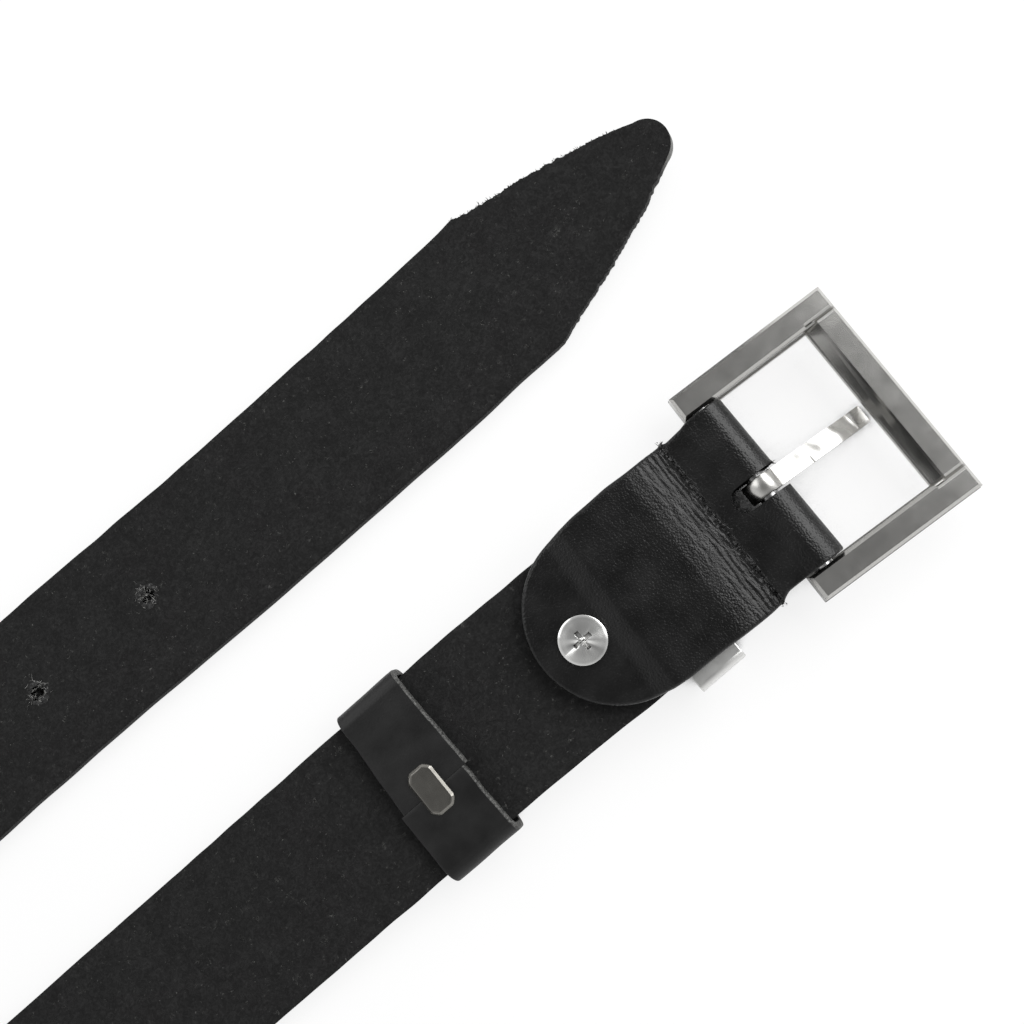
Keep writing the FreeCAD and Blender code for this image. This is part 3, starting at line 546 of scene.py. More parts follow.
@dataclass(frozen=True)
class PlatedFinish:
    """Nickel-plated metal with fine handling marks.

    The eye sees a hard mirror-like grey, broken by faint streaks and small pits.
    """
    name: str
    colour: str
    roughness: float
    streak: float = 2.5         # mm between streaks
    mark: float = 0.05          # how much the streaks change the roughness
    pit: float = 0.004          # mm, depth of the unevenness
    detail: float = 6.0         # how fine the unevenness gets

    def build(self) -> bpy.types.Material:
        """Make the material.

        Returns:
            The material.
        """
        material, tree, shader = new_material(self.name)
        place = put(tree, "TexCoord").outputs["Object"]
        streaks = put(tree, "TexNoise", {"Vector": place, "Scale": 1 / (self.streak * MM),
                                         "Detail": self.detail, "Roughness": 0.7})
        gloss = put(tree, "MapRange", {"Value": streaks.outputs["Fac"], "From Min": 0.3, "From Max": 0.7,
                                       "To Min": max(self.roughness - self.mark / 2, 0.02),
                                       "To Max": self.roughness + self.mark})
        relief = put(tree, "Bump", {"Height": streaks.outputs["Fac"], "Strength": 0.4,
                                    "Distance": self.pit * MM})
        fill(tree, shader, {"Base Color": srgb(self.colour), "Metallic": 1.0, "Roughness": gloss,
                            "Normal": relief})
        return material


@dataclass(frozen=True)
class CastFinish(PlatedFinish):
    """Plated casting whose front bar is let in between the side bars.

    The eye sees a bright double line at each front corner, where the joint's groove catches the light.
    """
    hinge: tuple[float, float, float] = (0.0, 0.0, 0.0)
    joint_side: float = 18.9    # mm from the middle to each groove
    joint_front: float = 24.6   # mm from the bar's axis, where the grooves begin
    joint_half: float = 0.75    # mm
    joint_depth: float = 0.45   # mm

    def build(self) -> bpy.types.Material:
        """Make the material of the plating and add the grooves.

        Returns:
            The material.
        """
        material = super().build()
        tree = material.node_tree
        shader = tree.nodes["Principled BSDF"]
        place = put(tree, "TexCoord").outputs["Object"]
        turned = put(tree, "Mapping", {"Vector": place, "Location": self.hinge,
                                       "Rotation": (0, 0, -YAW)}, vector_type="TEXTURE")
        axes = put(tree, "SeparateXYZ", {0: turned})
        side = put(tree, "Math", {0: axes.outputs["Y"]}, operation="ABSOLUTE")
        away = put(tree, "Math", {0: side, 1: self.joint_side * MM}, operation="SUBTRACT")
        apart = put(tree, "Math", {0: away}, operation="ABSOLUTE")
        flank = put(tree, "MapRange", {"Value": apart, "From Min": 0.0,
                                       "From Max": self.joint_half * MM, "To Min": 1.0, "To Max": 0.0})
        front = put(tree, "Math", {0: axes.outputs["X"], 1: self.joint_front * MM}, operation="GREATER_THAN")
        depth = put(tree, "Math", {0: flank, 1: front}, operation="MULTIPLY")
        groove = put(tree, "Bump", {"Height": depth, "Strength": 1.0,
                                    "Distance": self.joint_depth * MM,
                                    "Normal": shader.inputs["Normal"].links[0].from_socket}, invert=True)
        fill(tree, shader, {"Normal": groove})
        return material


@dataclass(frozen=True)
class TurnedFinish:
    """Turned nickel-plated head with a polish: fine rings, a few broad rays of reflection and painted shade
    in its cross recess.
    """
    name: str
    colour: str
    centre: tuple[float, float, float]
    roughness: float = 0.20
    ring: float = 0.35          # mm between turning rings
    ring_depth: float = 0.02    # mm
    rays: float = 3.6           # how many broad rays the reflections make
    ray_depth: float = 1.3      # mm
    cavity: float = 0.7         # mm, how near a wall the painted shade darkens the recess

    def build(self) -> bpy.types.Material:
        """Make the material; its pattern is centred on the screw.

        Returns:
            The material.
        """
        material, tree, shader = new_material(self.name)
        place = put(tree, "TexCoord").outputs["Object"]
        centred = put(tree, "Mapping", {"Vector": place, "Location": tuple(-c for c in self.centre)})
        rings = put(tree, "TexWave", {"Vector": centred, "Scale": 1 / (self.ring * MM * 20),
                                      "Distortion": 0.4}, wave_type="RINGS", rings_direction="Z")
        turn = put(tree, "TexGradient", {"Vector": centred}, gradient_type="RADIAL")
        fan = put(tree, "TexNoise", {"W": turn.outputs["Fac"], "Scale": self.rays, "Detail": 1.0},
                  noise_dimensions="1D")
        gloss = put(tree, "MapRange", {"Value": fan.outputs["Fac"], "From Min": 0.3, "From Max": 0.7,
                                       "To Min": self.roughness - 0.08, "To Max": self.roughness + 0.12})
        # painted shade: the colour turns dark grey-brown in the cross recess and next to its walls
        painted_recess_shade = put(tree, "AmbientOcclusion", {"Distance": self.cavity * MM})
        cover = put(tree, "ValToRGB", {"Fac": painted_recess_shade.outputs["AO"]},
                    stops=[(0.35, srgb("#2c2b29")), (0.85, srgb(self.colour))])
        relief = put(tree, "Bump", {"Height": rings.outputs["Fac"], "Strength": 0.15,
                                    "Distance": self.ring_depth * MM})
        rays = put(tree, "Bump", {"Height": fan.outputs["Fac"], "Strength": 1.0,
                                  "Distance": self.ray_depth * MM, "Normal": relief})
        fill(tree, shader, {"Base Color": cover, "Metallic": 1.0, "Roughness": gloss, "Normal": rays})
        return material


class Side(Enum):
    """The two strands: the tip strand lies on the +Y side, the buckle strand on the -Y side."""
    TIP = 1
    BUCKLE = -1


# ---------------------------------------------------------------- layout
@dataclass
class Layout:
    """Where the belt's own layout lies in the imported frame; the middle of the buckle's bar ties them."""
    hinge: np.ndarray           # the bar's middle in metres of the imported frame
    slope: float                # radians, of the ramp over the keeper
    bar_reach: float = 39.1     # the bar's middle in millimetres of the layout
    bar_across: float = -29.4
    bar_level: float = 8.5
    ramp_start: float = -102.0

    @property
    def bar(self) -> np.ndarray:
        """Middle of the bar in layout millimetres."""
        return np.array([self.bar_reach, self.bar_across, self.bar_level])

    def to_row(self, points: np.ndarray) -> np.ndarray:
        """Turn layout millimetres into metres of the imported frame."""
        return (points - self.bar) * MM + self.hinge

    def from_row(self, points: np.ndarray) -> np.ndarray:
        """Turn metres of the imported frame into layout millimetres."""
        return (points - self.hinge) / MM + self.bar

    def along_buckle(self, x: np.ndarray, y: np.ndarray) -> np.ndarray:
        """Place along the strap on lines that are turned as the buckle is: x - tan(yaw) (y - bar)."""
        return x - math.tan(YAW) * (y - self.bar_across)


@dataclass
class Track:
    """Stations of a strip of leather: everything that a cross-section needs, one row per station."""
    centre: np.ndarray          # (n, 3) middle of the thickness on the reference line
    across: np.ndarray          # (n, 3) direction in which the width is measured
    flesh: np.ndarray           # (n, 3) direction from the grain side to the flesh side
    thick: np.ndarray           # (n,) thickness
    low: np.ndarray             # (n,) edge on the negative side of `across`
    high: np.ndarray            # (n,) edge on the positive side
    plan: np.ndarray            # (n,) place along the belt, for the round ends

    @staticmethod
    def joined(parts: list["Track"]) -> "Track":
        """One track from several that follow each other."""
        return Track(*(np.concatenate([getattr(part, column.name) for part in parts])
                       for column in fields(Track)))

    def backwards(self) -> "Track":
        """The same stations in the other order."""
        return Track(*(getattr(self, column.name)[::-1] for column in fields(Track)))


def rounding(distance: np.ndarray, radius: float | np.ndarray) -> np.ndarray:
    """How far a face sinks near an edge with a round arris.

    Within the radius r the face follows a quarter circle: r - sqrt(r^2 - (r - d)^2) at distance d.

    Args:
        distance: distance from the edge.
        radius: radius of the arris.

    Returns:
        Depth below the flat face.
    """
    short = np.clip(radius - distance, 0, radius)
    return radius - np.sqrt(np.maximum(radius ** 2 - short ** 2, 0))


# ---------------------------------------------------------------- strap
@dataclass
class Strap:
    """The whole strap, from the tip along its strand, round the standing loop, to the fold and the tab."""
    layout: Layout
    thick: float = 3.4
    half_width: float = 17.5
    flat_end: float = -200.0                    # where the flat strands end and turn on edge
    tip_middle: float = 35.5                    # middle lines of the two strands
    buckle_middle: float = -29.2
    nose_centre: tuple[float, float] = (68.2, 36.6)
    nose_radius: float = 5.15
    nose_sweep: tuple[float, float, int] = (0.06, 1.198, 24)    # angles of the nose's arc, stations
    rub_angle: float = math.radians(-35)        # side of the nose whose cut edge gets a painted highlight
    tip_lift_start: float = 20.0                # from here the tip curls up
    tip_lift_radius: float = 290.0
    shoulder: float = 31.0                      # where the taper begins
    flare_radius: float = 150.0                 # outward arcs of the standing loop
    ring_radius: float = 65.0
    straight: float = 94.717                    # length over which the strap turns on edge
    slant: float = math.tan(YAW)
    fold_inner: float = 1.98                    # inner radius of the fold round the bar
    skive: float = 2.0                          # thickness of the pared leather in the fold
    tab_circle: tuple[float, float, float] = (3.2, -28.8, 17.9)     # centre and radius of its end
    tab_sweep: tuple[float, float, int] = (0.12, math.pi / 2 - 0.045, 34)
    turn_stations: int = 34                     # stations over which the strap turns on edge
    arc_stations: int = 18                      # of an outward arc
    ring_stations: int = 74
    end_stations: int = 60                      # as many can lie on the nose or on the tab's end
    ridge: float = 28.6                         # torn line across the tab
    creases: tuple[tuple[float, float, float], ...] = (         # place, depth and width of each
        (28.5, 0.40, 0.26), (27.0, 0.20, 0.20), (25.9, 0.18, 0.24), (24.7, 0.13, 0.20), (22.9, 0.08, 0.3))
    hole_radius: float = 1.75
    slot_half: float = 2.6                      # half the width of the prong's slot
    slot_reach: float = 6.8                     # how far it reaches behind the bar
    slot_front: float = 60.0                    # beyond the fold
    screw_place: tuple[float, float] = (-4.8, -29.2)
    screw_hole: float = 2.55
    flesh_arris: float = 0.4
    grain_arris: float = 0.75
    fold_arris: float = 0.35
    columns: int = 54

    def width_fractions(self) -> np.ndarray:
        """Place the columns across the strap, close together near the edges.

        Returns:
            Fractions of the width from 0 to 1.
        """
        near = np.array([0, 0.0022, 0.0055, 0.0105, 0.018, 0.03])
        middle = np.linspace(0.05, 0.95, self.columns - 2 * len(near))
        return np.concatenate([near, middle, 1 - near[::-1]])

    def tip_strand(self) -> Track:
        """Flat strand of the tip: nose, taper with its shoulders and the straight part.

        The nose is a circle; the taper follows flowing curves from the circle to the shoulders; the
        strand rises by (x - start)^2 / (2 radius) towards the tip.

        Returns:
            Stations from the tip to the end of the flat part.
        """
        centre_x, centre_y = self.nose_centre
        angle = np.linspace(*self.nose_sweep)
        nose_x = centre_x + self.nose_radius * np.cos(angle)
        nose_half = self.nose_radius * np.sin(angle)
        meet, count = nose_x[-1], len(nose_x)
        x = np.concatenate([nose_x, np.arange(meet - 0.3, self.shoulder - 3, -0.3),
                            np.arange(self.shoulder - 3.6, -112, -1.7), np.arange(-114, self.flat_end, -4.0)])
        high = flowing(x, [-200, -120, -90, -66, -42, -18, 6, 26, 29.2, 30.6, 32, 35, 41,
                           44, 47, 53, 59, 65, meet],
                       [53.0, 53.4, 53.4, 52.9, 52.45, 52.55, 52.75, 53.15, 53.4, 53.1, 52.5, 51.75, 50.58,
                        50.0, 49.25, 47.65, 45.8, 43.7, centre_y + nose_half[-1]])
        low = flowing(x, [-200, -120, -90, -66, -42, -6, 6, 26, 30.3, 31.0, 35, 41, 47, 53, 59, 65, meet],
                      [18.0, 18.75, 18.85, 18.34, 17.95, 17.92, 18.05, 18.45, 18.45, 18.75, 20.05, 21.7, 23.5,
                       25.4, 27.4, 29.75, centre_y - nose_half[-1]])
        ragged = np.clip((x - 28) / 3, 0, 1) * np.clip((meet - 1 - x) / 6, 0, 1)
        spots = on_line(x)
        high = high + ragged * (0.13 * bumps(spots, 1.7, 11) + 0.15 * bumps(spots, 0.75, 12))
        low = low + ragged * (0.12 * bumps(spots, 1.8, 13) + 0.11 * bumps(spots, 0.8, 14))
        calm = np.clip((26 - x) / 4, 0, 1)
        high = high + calm * 0.06 * bumps(spots, 9, 15)
        low = low + calm * 0.06 * bumps(spots, 11, 16)
        high[:count] = centre_y + nose_half
        low[:count] = centre_y - nose_half
        rise = np.maximum(x - self.tip_lift_start, 0)
        lean = rise / self.tip_lift_radius
        zeros = np.zeros_like(x)
        up = np.stack([-np.sin(lean), zeros, np.cos(lean)], axis=1)
        foot = np.stack([x, zeros + self.tip_middle, rise ** 2 / (2 * self.tip_lift_radius)], axis=1)
        across = np.tile([0.0, 1.0, 0.0], (len(x), 1))
        return Track(foot + up * self.thick / 2, across, up, zeros + self.thick,
                     low - self.tip_middle, high - self.tip_middle, x)

    def twisted(self, side: Side) -> Track:
        """Where the strap turns on edge: the lean is a quarter turn times the smooth step of the run.

        Args:
            side: the strand.

        Returns:
            Stations from the flat part to the standing one.
        """
        run = np.linspace(0, self.straight, self.turn_stations)
        part = run / self.straight
        lean = math.pi / 2 * part * part * (3 - 2 * part)
        zeros = np.zeros_like(run)
        outward = np.stack([zeros, zeros + side.value, zeros], axis=1)
        rise = np.stack([zeros, zeros, zeros + 1], axis=1)
        middle = self.tip_middle if side is Side.TIP else self.buckle_middle
        level = self.half_width * np.sin(lean) + self.thick / 2 * np.cos(lean)
        centre = np.stack([self.flat_end - run, zeros + middle, level], axis=1)
        across = outward * np.cos(lean)[:, None] + rise * np.sin(lean)[:, None]
        flesh = rise * np.cos(lean)[:, None] - outward * np.sin(lean)[:, None]
        return Track(centre, across, flesh, zeros + self.thick, zeros - self.half_width,
                     zeros + self.half_width, self.flat_end - run)

    def standing(self) -> Track:
        """The loop on edge: an outward arc, the ring and the outward arc of the other side.

        On an arc of radius r about a centre c the point at angle a is c + r (cos a, sin a).

        Returns:
            Stations from the tip strand's side to the buckle strand's.
        """
        half_gap = (self.tip_middle - self.buckle_middle) / 2
        middle = (self.tip_middle + self.buckle_middle) / 2
        flare, ring = self.flare_radius, self.ring_radius
        turn = math.acos((half_gap + flare) / (flare + ring))
        start = self.flat_end - self.straight
        sweep = np.linspace(0, turn, self.arc_stations)[1:]
        angle = np.linspace(math.pi / 2 - turn, 3 * math.pi / 2 + turn, self.ring_stations)[1:-1]
        first = np.stack([start - flare * np.sin(sweep), half_gap + flare * (1 - np.cos(sweep))], axis=1)
        inward_first = np.stack([-np.sin(sweep), -np.cos(sweep)], axis=1)
        round_part = np.stack([start - (flare + ring) * math.sin(turn) + ring * np.cos(angle),
                               ring * np.sin(angle)], axis=1)
        inward_round = -np.stack([np.cos(angle), np.sin(angle)], axis=1)
        plan = np.concatenate([first, round_part, first[::-1] * [1, -1]]) + [0, middle]
        inward = np.concatenate([inward_first, inward_round, inward_first[::-1] * [1, -1]])
        zeros = np.zeros(len(plan))
        centre = np.column_stack([plan, zeros + self.half_width])
        across = np.column_stack([zeros, zeros, zeros + 1])
        return Track(centre, across, np.column_stack([inward, zeros]), zeros + self.thick,
                     zeros - self.half_width, zeros + self.half_width, zeros + start)

    def side_view(self) -> np.ndarray:
        """Grain and flesh line of the buckle strand in side view.

        Returns:
            Matched points, one row (grain x, grain z, flesh x, flesh z) each.
        """
        ramp_start, slope = self.layout.ramp_start, self.layout.slope
        tangent, sine, cosine = math.tan(slope), math.sin(slope), math.cos(slope)

        def on_ramp(along: float, grain: float, flesh: float) -> list[float]:
            """Grain and flesh point at two heights square to the ramp.

            Args:
                along: place of their foot along the strap.
                grain: height of the grain point.
                flesh: height of the flesh point.

            Returns:
                The row (grain x, grain z, flesh x, flesh z).
            """
            foot = (along - ramp_start) * tangent
            return [along - grain * sine, foot + grain * cosine,
                    along - flesh * sine, foot + flesh * cosine]

        bar, level, inner = self.layout.bar_reach, self.layout.bar_level, self.fold_inner
        outer = inner + self.skive
        angle = np.radians(np.arange(-90, 91, 10))
        fold = np.stack([bar + outer * np.cos(angle), level + outer * np.sin(angle),
                         bar + inner * np.cos(angle), level + inner * np.sin(angle)], axis=1)
        before = [[self.flat_end, 0, self.flat_end, self.thick],
                  [ramp_start, 0, ramp_start, self.thick],
                  on_ramp(-2.0, 0, self.thick), [17.9, 5.65, 17.9, 9.05], [20.0, 5.54, 20.0, 9.0],
                  [30.3, 4.99, 30.3, 6.7]]
        after = [[34.5, 12.30, 34.5, 10.3], [30.2, 11.75, 30.2, 9.85], [28.9, 11.65, 28.9, 9.8],
                 [28.3, 12.15, 28.4, 9.8], [27.2, 12.25, 27.3, 9.85], [23.0, 12.98, 23.0, 10.1],
                 [19.5, 13.35, 19.5, 10.25], [3.7, 13.25, 3.7, 10.25],
                 on_ramp(0.0, 6.7, 3.7), on_ramp(-17.0, 6.7, 3.7)]
        return np.concatenate([np.array(before), fold, np.array(after)])

    def buckle_strand(self) -> Track:
        """Ramp over the keeper, fold round the bar and the tab with its round end.

        The tab ends on the circle of radius r about (cx, cy): with a = x - cx, b = cy - base and the
        slant s its edges are at base + (b - s a +- root) / (1 + s^2), where root is the square root of
        (s a - b)^2 - (1 + s^2) (a^2 + b^2 - r^2).

        Returns:
            Stations from the flat part to the tab's end.
        """
        line = softened(self.side_view(), 0.12, 0.45)
        run = np.concatenate([[0], np.cumsum(np.linalg.norm(np.diff(line[:, :2], axis=0), axis=1))])
        top = np.argmax(line[:, 0])                       # station farthest round the fold
        x_mid = (line[:, 0] + line[:, 2]) / 2

        def on_main(places: np.ndarray) -> np.ndarray:
            """Runs of places on the strap before the fold."""
            return np.interp(places, x_mid[:top], run[:top])

        def on_tab(places: np.ndarray) -> np.ndarray:
            """Runs of places on the tab behind the fold."""
            return np.interp(-places, -x_mid[top:], run[top:])

        centre_x, centre_y, radius = self.tab_circle
        start, end = on_main(np.array([38.5]))[0], on_tab(np.array([38.5]))[0]
        angle = np.linspace(*self.tab_sweep)
        reach = radius * math.sqrt(1 + self.slant ** 2)
        ends = centre_x - reach * np.sin(angle) * 0.9995
        at = np.concatenate([on_main(np.arange(self.flat_end, -100, 4.0)), on_main(np.arange(-100, 2, 1.4)),
                             on_main(np.arange(2, 38.2, 0.8)), np.arange(start, end, 0.3),
                             on_tab(np.arange(38.1, 31.0, -0.4)), on_tab(np.arange(30.9, 20, -0.2)),
                             on_tab(np.arange(19.8, centre_x, -0.5)), on_tab(ends)])
        grain_x, grain_z, flesh_x, flesh_z = (np.interp(at, run, column) for column in line.T)
        x = (grain_x + flesh_x) / 2
        later = at > run[top]                              # True on the tab
        zeros = np.zeros_like(x)
        middle = flowing(x, [-200, -110, -53, -30, -16, -5, 36],
                         [-29.2, -28.5, -28.4, -28.4, -28.65, -29.05, -29.5])
        spots = on_line(x, 50.0 * later)
        tab_high = flowing(x, [3, 8, 14, 20, 26, 28.6, 30, 33, 35.5, 39.1, 44],
                           [-10.7, -10.4, -10.4, -10.7, -11.0, -11.1, -11.3, -11.3, -11.0, -11.25, -11.55])
        tab_low = flowing(x, [3, 8, 14, 20, 26, 28.6, 31.2, 35, 39.1, 44],
                          [-46.8, -47.35, -47.5, -47.95, -48.2, -48.0, -47.15, -47.3, -47.55, -47.9])
        upper = np.where(later | (x > 35), tab_high, middle + 17.5) + 0.06 * bumps(spots, 9, 21)
        lower = np.where(later | (x > 35), tab_low, middle - 17.5) + 0.06 * bumps(spots, 11, 22)
        tuft = later * np.exp(-((x - self.ridge - 0.1) / 0.5) ** 2)
        upper = upper + 0.35 * tuft
        lower = lower - 0.25 * tuft
        base, s = self.buckle_middle, self.slant
        a, b = x - centre_x, centre_y - base
        root = np.sqrt(np.maximum((s * a - b) ** 2 - (1 + s * s) * (a * a + b * b - radius ** 2), 0))
        circle_high = base + (b - s * a + root) / (1 + s * s)
        circle_low = base + (b - s * a - root) / (1 + s * s)
        rounded = later & (x < centre_x)
        upper = np.where(rounded, np.minimum(circle_high, centre_y + radius), upper)
        lower = np.where(rounded, circle_low, lower)
        centre = np.stack([x, zeros + base, (grain_z + flesh_z) / 2], axis=1)
        to_flesh = np.stack([flesh_x - grain_x, zeros, flesh_z - grain_z], axis=1)
        thick = np.linalg.norm(to_flesh, axis=1)
        lean = self.slant * np.clip((x + 110) / 60, 0, 1)
        across = np.stack([-lean, zeros - 1, zeros], axis=1)
        return Track(centre, across, to_flesh / thick[:, None], thick, base - upper, base - lower, x)

    def edge_distance(self, track: Track, width: np.ndarray) -> np.ndarray:
        """Distance of each grid point from the outline: straight edges, round nose and round tab end.

        Args:
            track: stations of the strap.
            width: grid of places across the strap.

        Returns:
            Grid of distances.
        """
        distance = np.minimum(width - track.low[:, None], track.high[:, None] - width)
        x = track.centre[:, :1] + track.across[:, :1] * width
        y = track.centre[:, 1:2] + track.across[:, 1:2] * width
        rows = np.arange(len(track.plan))
        nose = (rows < self.end_stations) & (track.plan > self.nose_centre[0])
        from_nose = self.nose_radius - np.hypot(x - self.nose_centre[0], y - self.nose_centre[1])
        end = (rows > len(rows) - self.end_stations) & (track.plan < self.tab_circle[0])
        from_end = self.tab_circle[2] - np.hypot(x - self.tab_circle[0], y - self.tab_circle[1])
        distance = np.where(nose[:, None], from_nose, np.where(end[:, None], from_end, distance))
        return np.maximum(distance, 0)

    def build(self) -> bpy.types.Object:
        """Build the strap: two faces over one grid, walls along the edges and caps at both ends.

        Returns:
            The strap, whose holes and slot are cut afterwards by cut.
        """
        track = Track.joined([self.tip_strand(), self.twisted(Side.TIP), self.standing(),
                              self.twisted(Side.BUCKLE).backwards(), self.buckle_strand()])
        fraction = self.width_fractions()
        width = track.low[:, None] + (track.high - track.low)[:, None] * fraction
        distance = self.edge_distance(track, width)
        place = track.centre[:, None] + track.across[:, None] * width[..., None]
        half = track.thick[:, None] / 2
        calm = np.clip(distance / 2.0, 0, 1)
        uneven = (0.05 * bumps(place, 7.0, 31) + 0.03 * bumps(place, 2.5, 32)) * calm
        flesh_side = half - rounding(distance, self.flesh_arris) + uneven
        folded = np.clip((track.centre[:, :1] - 30) / 4, 0, 1) * (track.centre[:, 1:2] < 0)
        arris = self.grain_arris + (self.fold_arris - self.grain_arris) * folded
        grain_side = half - rounding(distance, arris) + self.worn_grain(place, track)
        flesh = place + track.flesh[:, None] * flesh_side[..., None]
        grain = place - track.flesh[:, None] * grain_side[..., None]
        rows, columns = distance.shape
        points = np.concatenate([flesh.reshape(-1, 3), grain.reshape(-1, 3)])
        return new_mesh("strap_hide", self.layout.to_row(points), shell_faces(rows, columns),
                        [0, 1, 2, 2, 2, 2])

    def worn_grain(self, place: np.ndarray, track: Track) -> np.ndarray:
        """Height added to the grain side: the swollen fold and the creases behind the ridge of the tab.

        The fold grows towards one edge. Each crease is a ditch with the shape of a bell curve across
        and a wandering line along it; it is deeper towards both edges of the tab.

        Args:
            place: grid of points in the middle of the leather.
            track: stations of the strap.

        Returns:
            Height above the flat grain side.
        """
        x, y = place[..., 0], place[..., 1]
        along = self.layout.along_buckle(x, y)
        side = np.clip((-12 - y) / 34, 0, 1)
        swell = np.clip((along - 35) / 3, 0, 1) * (0.15 + 0.75 * side) * (y < 0)
        on_tab = (track.flesh[:, None, 2] < 0) & (y < 0) & (x > 15)
        spots = np.stack([np.zeros_like(y), y, np.zeros_like(y)], axis=-1)
        total = np.zeros_like(x)
        for number, (line, depth, width) in enumerate(self.creases):
            wander = 0.22 * bumps(spots, 5.0, 51 + number) + 0.20 * bumps(spots, 1.3, 61 + number)
            strong = 0.55 + 0.45 * np.abs(y - self.layout.bar_across) / 18
            strong = strong + 0.35 * bumps(spots, 2.2, 71 + number)
            total -= depth * np.clip(strong, 0.1, 1.3) * np.exp(-((along - line - wander) / width) ** 2)
        ripple = 0.05 * bumps(place * np.array([1.0, 0.35, 0]), 0.8, 81)
        band = np.exp(-((along - 26) / 2.6) ** 2)
        return swell + on_tab * (total + ripple * band)

    def cut(self, thing: bpy.types.Object, holes: list[np.ndarray]) -> None:
        """Cut the size holes and the slot for the prong.

        Args:
            thing: the strap.
            holes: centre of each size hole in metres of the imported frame.
        """
        turn = np.linspace(0, 2 * np.pi, 33)[:-1]
        circle = MM * np.stack([np.cos(turn), np.sin(turn)], axis=1)
        cutters = []
        for number, spot in enumerate(holes):
            wobble = 1 + 0.05 * np.sin(3 * turn + number) + 0.03 * np.sin(7 * turn + 2 * number)
            ring = spot[:2] + self.hole_radius * wobble[:, None] * circle
            cutters.append(prism(f"hole_{number}", ring, low=-0.005, high=0.02))
        half = self.slot_half
        bend = np.linspace(math.pi / 2, 3 * math.pi / 2, 15)
        end = np.stack([half - self.slot_reach + half * np.cos(bend), half * np.sin(bend)], axis=1)
        shape = np.concatenate([end, [[self.slot_front, -half], [self.slot_front, half]]])
        turned = shape @ np.array([[math.cos(YAW), -math.sin(YAW)], [math.sin(YAW), math.cos(YAW)]])
        cutters.append(prism("prong_slot", turned * MM + self.layout.hinge[:2], low=-0.01, high=0.03))
        foot = self.layout.to_row(np.array([*self.screw_place, 0.0]))
        foot[2] = 0.0
        drill = prism("screw_hole", self.screw_hole * circle, low=-0.01, high=0.025)
        drill.data.transform(Matrix.Translation(Vector(foot)) @ Matrix.Rotation(-self.layout.slope, 4, "Y"))
        cutters.append(drill)
        carve(thing, cutters)

    def mark_wear(self, thing: bpy.types.Object) -> None:
        """Write the attributes of the creased places and of the painted highlight.

        "crease" is up to 1 on the band next to the ridge and up to 2 at the ridge; the other attribute is 1
        on the side of the nose whose cut edge gets a painted highlight.

        Args:
            thing: the strap.
        """
        mesh = thing.data
        place = np.zeros(len(mesh.vertices) * 3, np.float32)
        mesh.vertices.foreach_get("co", place)
        place = self.layout.from_row(place.reshape(-1, 3))
        along = self.layout.along_buckle(place[:, 0], place[:, 1])
        top = place[:, 2] > self.layout.bar_level + 2.0
        torn = np.exp(-((along - self.ridge) / 0.65) ** 2)
        band = flowing(along - self.layout.bar_reach, [-40, -24, -17, -14, -10.6, -9.8, -4, 6],
                       [0.05, 0.06, 0.35, 1.0, 0.9, 0.3, 0.12, 0.1])
        away = place[:, :2] - self.nose_centre
        distance = np.linalg.norm(away, axis=1)
        turned = away @ [math.cos(self.rub_angle), math.sin(self.rub_angle)] / distance
        # painted highlight on the cut edge, on the lit side of the nose
        nose_rim_highlight = np.clip((turned - 0.35) / 0.4, 0, 1) * np.clip((10 - distance) / 4, 0, 1)
        for name, value in (("crease", np.where(top, band + torn, 0)), ("painted_nose_highlight", nose_rim_highlight)):
            attribute = mesh.attributes.new(name, "FLOAT", "POINT")
            attribute.data.foreach_set("value", value.astype(np.float32))


